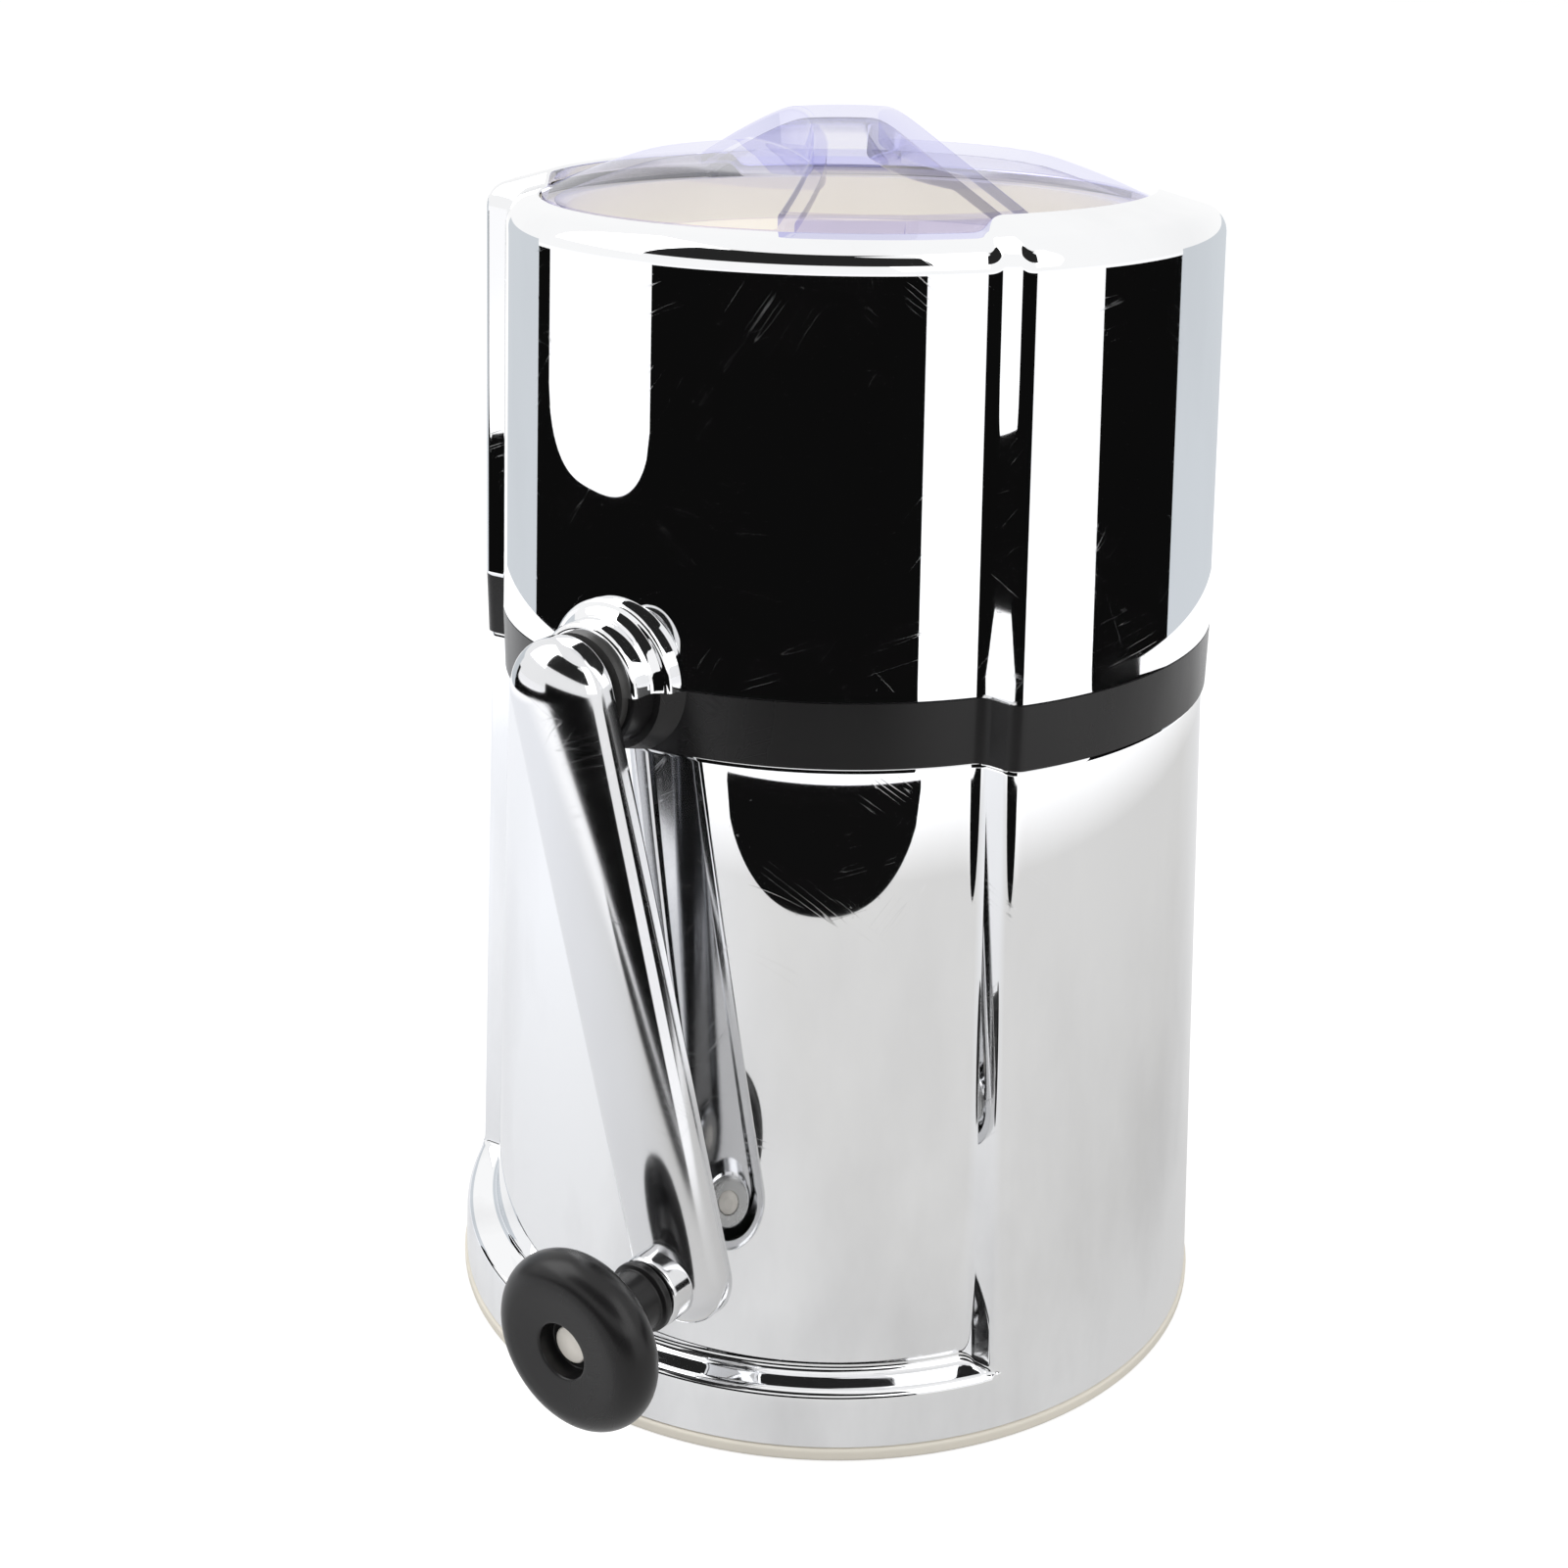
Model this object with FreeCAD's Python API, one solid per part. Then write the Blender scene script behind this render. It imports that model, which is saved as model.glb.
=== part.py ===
"""Hand crank ice crusher: a fluted chrome body on a rubber base, with a crusher head that lifts off.

Millimetres, +Z up. The origin is the centre of the face the crusher stands on.
The crank shaft runs along -Y at the height where the chrome shell meets the black collar.
"""
import FreeCAD, Part

import math
import os

V = FreeCAD.Vector
UP = V(0, 0, 1)
FRONT = V(0, -1, 0)
ORIGIN = V(0, 0, 0)

# Fits and clearances
RUNNING = 0.06
SLIP = 0.02
LOOSE = 0.3
HAND_GAP = 0.8

# Outer body
RING_R = 70.0
BIN_SPREAD = 6.0
RIM_INSET = 0.7
BIN_H = 127.7
COLLAR_H = 11.5
SHELL_H = 74.7
SHELL_DRAFT = 0.0384
SHOULDER_DEG = 15.4
SHOULDER_W = 9.3
SHOULDER_ROUND = 5.0
PANEL_SHOULDER_ROUND = 3.0
WALL = 2.5

# Flutes: the sunk front and rear panels between the two raised wings
FLUTE_DEPTH = 6.4
FLUTE_FOOT_DEG = 58.9
FLUTE_LIP_DEG = 61.5
LEDGE_H = 11.7
WING_RISE = 2.6
WING_CORE = 30.0
FLUTE_ROUND = 3.0
HEAD_FLUTE_ROUND = 1.2

# Base
PAD_H = 2.5
PAD_LIP = 0.4
PAD_GROOVE_R = (20.0, 36.0, 52.0, 68.0)
PAD_GROOVE_W = 2.0
PAD_GROOVE_D = 0.8
BASE_PLATE_H = 4.0
BASE_SCREW_DEG = 20.0
BASE_SCREW_INSET = 9.5
BASE_POST_H = 12.0

# Screws
SCREW_R = 1.6
SCREW_HEAD_R = 3.1
SCREW_HEAD_H = 1.9
SCREW_SLOT_W = 0.9
SCREW_SLOT_D = 0.7
SCREW_SLOT_REACH = 1.86
SCREW_HEAD_ROUND = 0.76
SCREW_BITE = 9.0
POST_WALL = 2.2

# Ice cup
CUP_INSET = 9.4
CUP_TAPER = 6.2
CUP_WALL = 2.0
CUP_FLANGE_W = 4.0
CUP_FLANGE_H = 2.0
CUP_DROP = 2.2
SHELF_H = 2.5

# Collar
COLLAR_WALL = 3.0
DECK_DROP = 7.1
DECK_H = 2.2
SPIGOT_INSET = 12.6
SPIGOT_WALL = 2.5
SPIGOT_H = 8.4
HOUSING_SCREW_INSET = 6.6
HOUSING_SCREW_DEG = 20.0
HOUSING_POST_H = 25.0

# Crank bearing boss
BOSS_R = 10.9
BOSS_REACH = 7.3
BOSS_FOOT_R = 13.2
BOSS_FOOT_H = 2.2
BOSS_FOOT_TAPER = 1.0
BOSS_INSIDE = 9.0
BUSH_R = 7.0
BUSH_FLANGE_R = 9.6
BUSH_FLANGE_H = 1.5

# Shaft and rotor
SHAFT_R = 4.0
SHAFT_TAIL = 5.5
BLADE_COUNT = 5
BLADE_PITCH = 11.0
BLADE_T = 2.0
BLADE_ROOM = 4.0
BLADE_ROOT_R = 10.0
BLADE_POINTS = 3
BLADE_TIP_DEG = 9.0
BLADE_STEP_DEG = 24.0
SPACER_R = 8.0
RING_T = 1.0
RING_W = 2.0

# Crusher frame and combs
THROAT_X = 54.0
FRAME_WALL = 2.5
FRAME_ABOVE = 30.0
FRAME_BELOW = 19.8
FRAME_FLANGE_W = 10.0
FRAME_FLANGE_H = 2.2
FRAME_SCREW_Y = 24.0
END_ROOM = 4.5
COMB_PLATE_T = 2.0
COMB_TOOTH_T = 2.0
COMB_GAP = 3.0
COMB_LOW = 9.0
COMB_HIGH = 15.0
COMB_TIP_H = 7.0
COMB_SCREW_Y = 16.5
COMB_SCREW_UP = 10.0

# Hopper
HOPPER_WALL = 2.2
HOPPER_FLANGE_W = 4.6
HOPPER_FLANGE_H = 2.5
HOPPER_COLLAR_H = 14.0

# Lid
LID_CROWN = 11.7
LID_WALL = 2.2
LID_SKIRT_H = 8.0
LID_SKIRT_WALL = 2.0
BAND_RISE = 2.6
BAND_CROWN = 12.2
BAND_WAIST = 8.7
BAND_FLARE = 11.1
BAND_FLARE_POWER = 2.7
BAND_STEPS = 6
BAND_OVERRUN = 1.2
BAND_DEG = 46.8
WELL_INSET = 17.3

# Crank arm
ARM_LENGTH = 104.0
ARM_HANG_DEG = 14.2
ARM_GAP = 1.8
ARM_HUB_R = 9.9
ARM_END_R = 9.6
ARM_T = 8.6
ARM_ROUND = 4.2
ARM_SKIN = 2.2
ARM_CHANNEL = 5.0
ARM_PAD_R = 6.4
ARM_END_PAD_R = 5.8
SHAFT_GRIP = 3.6
THRUST_WASHER_R = 8.0
THRUST_WASHER_H = 1.4
ARM_BOSS_R = 6.5
ARM_BOSS_H = 3.3
NOSE_ROUND = 0.7

# Knob and its pin
KNOB_R = 16.2
KNOB_T = 9.3
KNOB_NECK_R = 5.5
KNOB_FLARE_R = 6.4
KNOB_FLARE_ROOT = 1.5
KNOB_NECK_L = 12.0
KNOB_GAP = 0.5
KNOB_WELL_R = 5.0
KNOB_WELL_D = 3.7
PIN_R = 2.6
PIN_HEAD_R = 3.4
PIN_HEAD_H = 1.2
PIN_WASHER_R = 5.0
PIN_WASHER_H = 0.8
PIN_TAIL = 0.8

# Heights and places that follow from the sizes above
BASE_R = RING_R + BIN_SPREAD
PANEL_FACE = RING_R - FLUTE_DEPTH
LID_R = PANEL_FACE - SHOULDER_W
WELL_R = LID_R - WELL_INSET
CUP_MOUTH_R = PANEL_FACE - CUP_INSET
CUP_FLOOR_R = CUP_MOUTH_R - CUP_TAPER
SPIGOT_R = PANEL_FACE - SPIGOT_INSET
BASE_SCREW_RING = BASE_R - BASE_SCREW_INSET
HOUSING_SCREW_RING = PANEL_FACE - HOUSING_SCREW_INSET
BIN_TOP = PAD_H + BIN_H
COLLAR_TOP = BIN_TOP + COLLAR_H
AXIS_Z = COLLAR_TOP
SHELL_EDGE = COLLAR_TOP + SHELL_H
DECK_TOP = COLLAR_TOP - DECK_DROP
DECK_LOW = DECK_TOP - DECK_H
LEDGE_Z = PAD_H + LEDGE_H
OPENING_R = LID_R + LOOSE
BLADE_R = THROAT_X / 2 - COMB_PLATE_T - BLADE_ROOM
ROTOR_L = (BLADE_COUNT - 1) * BLADE_PITCH + BLADE_T
THROAT_Y = ROTOR_L + BLADE_PITCH - BLADE_T + 2 * END_ROOM
FRAME_X = THROAT_X / 2 + FRAME_WALL
FRAME_Y = THROAT_Y / 2 + FRAME_WALL
FRAME_TOP = AXIS_Z + FRAME_ABOVE
FRAME_LOW = AXIS_Z - FRAME_BELOW
BOSS_END = PANEL_FACE + BOSS_REACH
BUSH_FACE = BOSS_END + BUSH_FLANGE_H
ARM_BACK = BUSH_FACE + ARM_GAP
ARM_FRONT = ARM_BACK + ARM_T
ARM_BOSS_END = ARM_FRONT + ARM_BOSS_H
KNOB_BACK = ARM_BOSS_END + KNOB_GAP
KNOB_FRONT = KNOB_BACK + KNOB_NECK_L + KNOB_T
LID_SEAT = SHELL_EDGE - HOPPER_FLANGE_H
REAR_FACE = FRAME_Y + BUSH_FLANGE_H
HANG = math.radians(ARM_HANG_DEG)
KNOB_X = ARM_LENGTH * math.sin(HANG)
KNOB_Z = AXIS_Z - ARM_LENGTH * math.cos(HANG)


def bin_radius(z):
    """Radius of the bin's wings at height z."""
    share = (z - PAD_H) / BIN_H
    return BASE_R + (RING_R - RIM_INSET - BASE_R) * share


def polar(radius, degrees, z=0.0):
    """A point by its radius and its angle from the crank side, turning towards +X."""
    turn = math.radians(degrees)
    return V(radius * math.sin(turn), -radius * math.cos(turn), z)


def closed_face(points):
    """A flat face from its corner points."""
    return Part.Face(Part.makePolygon(list(points) + [points[0]]))


def turned(points):
    """A solid of revolution about Z from (radius, height) points."""
    profile = closed_face([V(r, 0, z) for r, z in points])
    return profile.revolve(ORIGIN, UP, 360)


def disc(radius, low, high, x=0.0, y=0.0):
    """An upright cylinder between two heights."""
    return Part.makeCylinder(radius, high - low, V(x, y, low), UP)


def ring(outer, inner, low, high):
    """An upright ring between two heights."""
    return disc(outer, low, high).cut(disc(inner, low, high))


def block(x0, x1, y0, y1, z0, z1):
    """A box by its limits."""
    return Part.makeBox(x1 - x0, y1 - y0, z1 - z0, V(x0, y0, z0))


def rod(radius, back, front, x=0.0, z=AXIS_Z):
    """A cylinder along the crank direction, from one reach to another in front of the body's axis."""
    return Part.makeCylinder(radius, front - back, V(x, -back, z), FRONT)


def joined(solids):
    """All of the solids fused into one clean solid."""
    first = solids[0]
    return first.fuse(solids[1:]).removeSplitter()


def group(solids):
    """Separate solids kept in one node."""
    return Part.makeCompound(solids)


def rounded(shape, radius, wanted):
    """The shape with every edge that passes the test rounded."""
    edges = [edge for edge in shape.Edges if wanted(edge)]
    return shape.makeFillet(radius, edges)


def wing_plan(radius, inset, z):
    """Plan of the wing on the +X side at a height; its flanks keep one direction at every height."""
    foot = polar(radius - FLUTE_DEPTH, FLUTE_FOOT_DEG, z)
    slope = (polar(RING_R, FLUTE_LIP_DEG) - polar(PANEL_FACE, FLUTE_FOOT_DEG))
    lean = slope.y / slope.x
    near, far = WING_CORE, 2 * RING_R
    y_near = foot.y + (near - foot.x) * lean + inset
    y_far = foot.y + (far - foot.x) * lean + inset
    return [V(near, y_near, z), V(far, y_far, z), V(far, -y_far, z), V(near, -y_near, z)]


def prism(low, high):
    """A solid between two four-cornered faces whose sides are parallel."""
    sides = [[low[i], low[(i + 1) % 4], high[(i + 1) % 4], high[i]] for i in range(4)]
    faces = [closed_face(points) for points in [low, high] + sides]
    return Part.makeSolid(Part.makeShell(faces))


def wings(low, low_radius, high, high_radius, inset=0.0):
    """The two wedges that bound the wings between two heights."""
    right = prism(wing_plan(low_radius, inset, low), wing_plan(high_radius, inset, high))
    left = right.copy()
    left.rotate(ORIGIN, UP, 180)
    return [right, left]


def head_profile(radius, rise):
    """Outline of the head for one radius: a slightly tapered wall and a sloping shoulder."""
    slope = math.tan(math.radians(SHOULDER_DEG))
    edge = SHELL_EDGE + rise
    reach = edge + OPENING_R * slope - COLLAR_TOP
    corner_r = (radius - SHELL_DRAFT * reach) / (1 - SHELL_DRAFT * slope)
    corner_z = edge - (corner_r - OPENING_R) * slope
    return [(0, COLLAR_TOP), (radius, COLLAR_TOP), (corner_r, corner_z), (OPENING_R, edge), (0, edge)]


def head_form(inset, drop):
    """The head's solid form, set in by a wall's thickness on the sides and lowered on top."""
    slim = head_profile(PANEL_FACE - inset, -drop)
    full = head_profile(RING_R - inset, WING_RISE - drop)
    core = turned(slim)
    outer = turned(full)
    outer.rotate(ORIGIN, UP, 90)
    if inset == 0:
        core = rounded(core, PANEL_SHOULDER_ROUND, lambda e: is_circle(e, slim[2][0], slim[2][1]))
        outer = rounded(outer, SHOULDER_ROUND, lambda e: is_circle(e, full[2][0], full[2][1]))
    top_r = RING_R - SHELL_DRAFT * SHELL_H
    sides = wings(COLLAR_TOP, RING_R, SHELL_EDGE + WING_RISE, top_r, inset)
    return joined([core] + [outer.common(side) for side in sides])


def is_circle(edge, radius, z):
    """Whether an edge is a level circle of this radius at this height."""
    box = edge.BoundBox
    level = abs(box.ZMin - z) < 0.01 and abs(box.ZMax - z) < 0.01
    return level and abs(box.XMax - radius) < 0.01


def is_flank(edge, low, high):
    """Whether an edge runs up a flute's flank between two heights."""
    box = edge.BoundBox
    beside = abs(box.YMin) > WING_CORE / 2
    return beside and box.ZMin < low + 1.0 and box.ZMax > high


def flank_foot(edge, radius):
    """Whether a flank's edge is its foot, on the panel, and not its lip, on a wing of this radius."""
    box = edge.BoundBox
    return max(abs(box.XMin), abs(box.XMax)) < polar(radius, FLUTE_FOOT_DEG).x - FLUTE_DEPTH / 2


def screw(x, y, seat, length, down=False):
    """A pan head screw whose head sits on a seat and whose shank goes up, or down."""
    head = disc(SCREW_HEAD_R, -SCREW_HEAD_H, 0)
    head = rounded(head, SCREW_HEAD_ROUND, lambda e: is_circle(e, SCREW_HEAD_R, -SCREW_HEAD_H))
    shank = disc(SCREW_R, 0, length)
    body = head.fuse(shank).removeSplitter()
    for turn in (0, 90):
        slot = block(-SCREW_SLOT_REACH, SCREW_SLOT_REACH, -SCREW_SLOT_W / 2, SCREW_SLOT_W / 2,
                     -SCREW_HEAD_H, -SCREW_HEAD_H + SCREW_SLOT_D)
        slot.rotate(ORIGIN, UP, turn)
        body = body.cut(slot)
    if down:
        body.rotate(ORIGIN, V(1, 0, 0), 180)
    body.translate(V(x, y, seat))
    return body


def wing_spots(radius, degrees):
    """Four places, two in each wing."""
    return [polar(radius, centre + side * degrees) for centre in (90, 270) for side in (-1, 1)]


def base_pad():
    """Soft pad under the whole base, with shallow grooves underneath."""
    pad = disc(BASE_R + PAD_LIP, 0, PAD_H)
    for radius in PAD_GROOVE_R:
        pad = pad.cut(ring(radius + PAD_GROOVE_W, radius, 0, PAD_GROOVE_D))
    return pad


def base_plate():
    """Floor plate that closes the bin from below and is screwed to the bin's posts."""
    plate = disc(BASE_R - WALL - LOOSE, PAD_H, PAD_H + BASE_PLATE_H)
    for spot in wing_spots(BASE_SCREW_RING, BASE_SCREW_DEG):
        plate = plate.cut(disc(SCREW_HEAD_R + LOOSE, PAD_H, PAD_H + SCREW_HEAD_H + LOOSE, spot.x, spot.y))
        plate = plate.cut(disc(SCREW_R + SLIP, PAD_H, PAD_H + BASE_PLATE_H, spot.x, spot.y))
    return plate


def base_screws():
    """Screws that hold the floor plate."""
    seat = PAD_H + SCREW_HEAD_H + LOOSE
    length = BASE_PLATE_H - SCREW_HEAD_H + SCREW_BITE
    return group([screw(p.x, p.y, seat, length) for p in wing_spots(BASE_SCREW_RING, BASE_SCREW_DEG)])


def bin_form(inset, ledge, rounding=0):
    """The bin's solid form: both flutes above the ledge and full radius below it."""
    bottom = bin_radius(PAD_H) - inset
    top = bin_radius(BIN_TOP) - inset
    core = Part.makeCone(bottom - FLUTE_DEPTH, top - FLUTE_DEPTH, BIN_H, V(0, 0, PAD_H), UP)
    outer = Part.makeCone(bottom, top, BIN_H, V(0, 0, PAD_H), UP)
    outer.rotate(ORIGIN, UP, 90)
    sides = wings(PAD_H, bin_radius(PAD_H), BIN_TOP, bin_radius(BIN_TOP), inset)
    form = joined([core] + [outer.common(side) for side in sides])
    if rounding:
        form = rounded(form, rounding, lambda e: is_flank(e, PAD_H, BIN_TOP - 1) and flank_foot(e, bottom))
    return joined([form, outer.common(disc(2 * BASE_R, PAD_H, ledge))])


def bin_shell():
    """Chromed bin, moulded from below, with a shelf for the cup and posts for the floor screws."""
    outer = bin_form(0, LEDGE_Z, FLUTE_ROUND)
    shell = outer.cut(bin_form(WALL, LEDGE_Z - WALL))
    flange_z = BIN_TOP - CUP_DROP - CUP_FLANGE_H
    hole_r = CUP_MOUTH_R + CUP_WALL + HAND_GAP
    shelf_r = bin_radius(flange_z) - FLUTE_DEPTH - WALL / 2
    parts = [shell, ring(shelf_r, hole_r, flange_z - SHELF_H, flange_z)]
    post_low = PAD_H + BASE_PLATE_H
    post_r = SCREW_R + POST_WALL
    for centre in (90, 270):
        for side in (-1, 1):
            angle = centre + side * BASE_SCREW_DEG
            spot = polar(BASE_SCREW_RING, angle)
            parts.append(disc(post_r, post_low, post_low + BASE_POST_H, spot.x, spot.y))
            web = block(-WALL / 2, WALL / 2, -bin_radius(post_low + BASE_POST_H) + WALL / 2, -BASE_SCREW_RING,
                        post_low, post_low + BASE_POST_H)
            web.rotate(ORIGIN, UP, angle)
            parts.append(web)
    shell = joined(parts)
    for spot in wing_spots(BASE_SCREW_RING, BASE_SCREW_DEG):
        shell = shell.cut(disc(SCREW_R, post_low, post_low + SCREW_BITE + LOOSE, spot.x, spot.y))
    return shell


def ice_cup():
    """Removable cup that catches the crushed ice; its flange hangs on the bin's shelf."""
    floor_z = PAD_H + BASE_PLATE_H + HAND_GAP
    top = BIN_TOP - CUP_DROP
    flange_z = top - CUP_FLANGE_H
    outer = CUP_MOUTH_R + CUP_WALL
    return turned([
        (0, floor_z), (CUP_FLOOR_R + CUP_WALL, floor_z), (outer, flange_z),
        (outer + CUP_FLANGE_W - CUP_WALL / 2, flange_z), (outer + CUP_FLANGE_W - CUP_WALL / 2, top),
        (CUP_MOUTH_R, top), (CUP_FLOOR_R, floor_z + CUP_WALL), (0, floor_z + CUP_WALL)])


def collar_outline(inset, low, high):
    """The collar's fluted plan, extruded between two heights."""
    core = disc(PANEL_FACE - inset, low, high)
    outer = disc(RING_R - inset, low, high)
    sides = wings(low, RING_R, high, RING_R, inset)
    return joined([core] + [outer.common(side) for side in sides])


def boss():
    """The bearing boss on the front panel, whole, with its wider foot."""
    barrel = rod(BOSS_R, PANEL_FACE - BOSS_INSIDE, BOSS_END)
    back = PANEL_FACE - BOSS_FOOT_H - BOSS_FOOT_TAPER
    foot = Part.makeCone(BOSS_FOOT_R + BOSS_FOOT_H, BOSS_FOOT_R - BOSS_FOOT_TAPER,
                         2 * BOSS_FOOT_H + BOSS_FOOT_TAPER, V(0, -back, AXIS_Z), FRONT)
    return joined([barrel, foot])


def collar():
    """Black collar: the visible band, the deck that carries the crusher, and the lower bearing half."""
    band = collar_outline(0, BIN_TOP, COLLAR_TOP)
    band = rounded(band, FLUTE_ROUND, lambda e: is_flank(e, BIN_TOP, COLLAR_TOP - 1))
    band = band.cut(collar_outline(COLLAR_WALL, BIN_TOP, COLLAR_TOP))
    deck = collar_outline(COLLAR_WALL / 2, DECK_LOW, DECK_TOP)
    spigot = ring(SPIGOT_R, SPIGOT_R - SPIGOT_WALL, DECK_LOW - SPIGOT_H, DECK_LOW)
    lower_half = block(-RING_R, RING_R, -2 * RING_R, 0, DECK_TOP - 2 * BOSS_R, COLLAR_TOP)
    parts = [band, deck, spigot, boss().common(lower_half).cut(disc(RING_R * 2, 0, BIN_TOP))]
    for x, y in frame_screw_spots():
        parts.append(disc(SCREW_R + POST_WALL, DECK_LOW - SCREW_BITE + FRAME_FLANGE_H, DECK_LOW, x, y))
    body = joined(parts)
    window = block(-FRAME_X - LOOSE, FRAME_X + LOOSE, -FRAME_Y - LOOSE, REAR_FACE + LOOSE, 0, COLLAR_TOP)
    body = body.cut(window)
    body = body.cut(rod(BUSH_R + SLIP, 0, BUSH_FACE))
    for x, y in frame_screw_spots():
        body = body.cut(disc(SCREW_R, DECK_LOW - SCREW_BITE, DECK_TOP, x, y))
    for spot in wing_spots(HOUSING_SCREW_RING, HOUSING_SCREW_DEG):
        body = body.cut(disc(SCREW_R + SLIP, DECK_LOW, DECK_TOP, spot.x, spot.y))
    return body


def frame_screw_spots():
    """Places of the four screws that hold the crusher frame on the deck."""
    x = FRAME_X + FRAME_FLANGE_W / 2
    return [(i * x, j * FRAME_SCREW_Y) for i in (-1, 1) for j in (-1, 1)]


def upper_shell():
    """Chromed head shell with the upper bearing half and the posts for the collar's screws."""
    opening = disc(OPENING_R, COLLAR_TOP, 2 * SHELL_EDGE)
    outer = head_form(0, 0).cut(opening)
    top = SHELL_EDGE - 2 * SHOULDER_ROUND
    outer = rounded(outer, HEAD_FLUTE_ROUND, lambda e: is_flank(e, COLLAR_TOP, top))
    upper_half = block(-RING_R, RING_R, -2 * RING_R, 0, COLLAR_TOP, COLLAR_TOP + 3 * BOSS_R)
    shell = outer.cut(head_form(WALL, WALL))
    parts = [shell, boss().common(upper_half)]
    post_r = SCREW_R + POST_WALL
    for centre in (90, 270):
        for side in (-1, 1):
            angle = centre + side * HOUSING_SCREW_DEG
            spot = polar(HOUSING_SCREW_RING, angle)
            parts.append(disc(post_r, DECK_TOP, DECK_TOP + HOUSING_POST_H, spot.x, spot.y))
            web = block(-WALL / 2, WALL / 2, -RING_R + WALL, -HOUSING_SCREW_RING,
                        COLLAR_TOP, DECK_TOP + HOUSING_POST_H)
            web.rotate(ORIGIN, UP, angle)
            parts.append(web)
    body = joined(parts)
    body = body.cut(rod(BUSH_R + SLIP, 0, BUSH_FACE))
    for spot in wing_spots(HOUSING_SCREW_RING, HOUSING_SCREW_DEG):
        body = body.cut(disc(SCREW_R, DECK_TOP, DECK_TOP + SCREW_BITE + LOOSE, spot.x, spot.y))
    return body


def housing_screws():
    """Screws from under the deck into the head shell's posts."""
    spots = wing_spots(HOUSING_SCREW_RING, HOUSING_SCREW_DEG)
    return group([screw(p.x, p.y, DECK_LOW, DECK_H + SCREW_BITE) for p in spots])


def crusher_frame():
    """Open box around the rotor, with a flange on the deck and the rear bearing's seat."""
    frame = block(-FRAME_X, FRAME_X, -FRAME_Y, FRAME_Y, FRAME_LOW, FRAME_TOP)
    flange = block(-FRAME_X - FRAME_FLANGE_W, FRAME_X + FRAME_FLANGE_W, -FRAME_Y, FRAME_Y,
                   DECK_TOP, DECK_TOP + FRAME_FLANGE_H)
    frame = joined([frame, flange])
    frame = frame.cut(block(-THROAT_X / 2, THROAT_X / 2, -THROAT_Y / 2, THROAT_Y / 2, 0, 2 * FRAME_TOP))
    frame = frame.cut(rod(SPACER_R, 0, FRAME_Y))
    frame = frame.cut(rod(BUSH_R + SLIP, -FRAME_Y, 0))
    for x, y in frame_screw_spots():
        frame = frame.cut(disc(SCREW_R + SLIP, DECK_TOP, FRAME_TOP, x, y))
    for x, y, z in comb_screw_spots():
        frame = frame.cut(side_pin(SCREW_R + SLIP, x, y, z, FRAME_WALL))
    return frame


def frame_screws():
    """Screws that hold the crusher frame on the collar's deck."""
    seat = DECK_TOP + FRAME_FLANGE_H
    return group([screw(x, y, seat, SCREW_BITE, down=True) for x, y in frame_screw_spots()])


def comb_screw_spots():
    """Places on the frame's outer sides of the screws that hold the combs."""
    z = AXIS_Z + COMB_SCREW_UP
    return [(i * FRAME_X, j * COMB_SCREW_Y, z) for i in (-1, 1) for j in (-1, 1)]


def side_pin(radius, x, y, z, length):
    """A cylinder that goes inwards from the frame's side."""
    return Part.makeCylinder(radius, length, V(x, y, z), V(-math.copysign(1, x), 0, 0))


def comb(side):
    """Fixed comb: a plate on the frame's side wall with teeth that pass between the blades."""
    wall_x = THROAT_X / 2
    plate = block(wall_x - COMB_PLATE_T, wall_x, -THROAT_Y / 2, THROAT_Y / 2,
                  AXIS_Z - COMB_LOW, AXIS_Z + COMB_HIGH)
    tip_x = SPACER_R + COMB_GAP
    root_x = wall_x - COMB_PLATE_T
    teeth = [plate]
    for index in range(BLADE_COUNT + 1):
        y = (index - BLADE_COUNT / 2) * BLADE_PITCH - COMB_TOOTH_T / 2
        outline = closed_face([
            V(root_x, y, AXIS_Z - COMB_LOW), V(tip_x, y, AXIS_Z - COMB_TIP_H / 2),
            V(tip_x, y, AXIS_Z + COMB_TIP_H / 2), V(root_x, y, AXIS_Z + COMB_HIGH)])
        teeth.append(outline.extrude(V(0, COMB_TOOTH_T, 0)))
    body = joined(teeth)
    for x, y, z in comb_screw_spots():
        if x > 0:
            body = body.cut(side_pin(SCREW_R, x, y, z, FRAME_WALL + COMB_PLATE_T))
    if side < 0:
        body.rotate(ORIGIN, UP, 180)
    return body


def comb_screws():
    """Screws through the frame's sides into the combs."""
    screws = []
    for x, y, z in comb_screw_spots():
        piece = screw(0, 0, 0, FRAME_WALL + COMB_PLATE_T)
        piece.rotate(ORIGIN, V(0, 1, 0), -90 if x > 0 else 90)
        piece.translate(V(x, y, z))
        screws.append(piece)
    return group(screws)


def front_bush():
    """Flanged bearing bush held between the two halves of the boss."""
    back = PANEL_FACE - BOSS_INSIDE
    body = joined([rod(BUSH_R, back, BOSS_END), rod(BUSH_FLANGE_R, BOSS_END, BUSH_FACE)])
    return body.cut(rod(SHAFT_R + RUNNING, back, BUSH_FACE))


def rear_bush():
    """Flanged bearing bush in the frame's rear wall."""
    body = joined([rod(BUSH_R, -FRAME_Y, -THROAT_Y / 2), rod(BUSH_FLANGE_R, -REAR_FACE, -FRAME_Y)])
    return body.cut(rod(SHAFT_R + RUNNING, -REAR_FACE, -THROAT_Y / 2))


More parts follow.
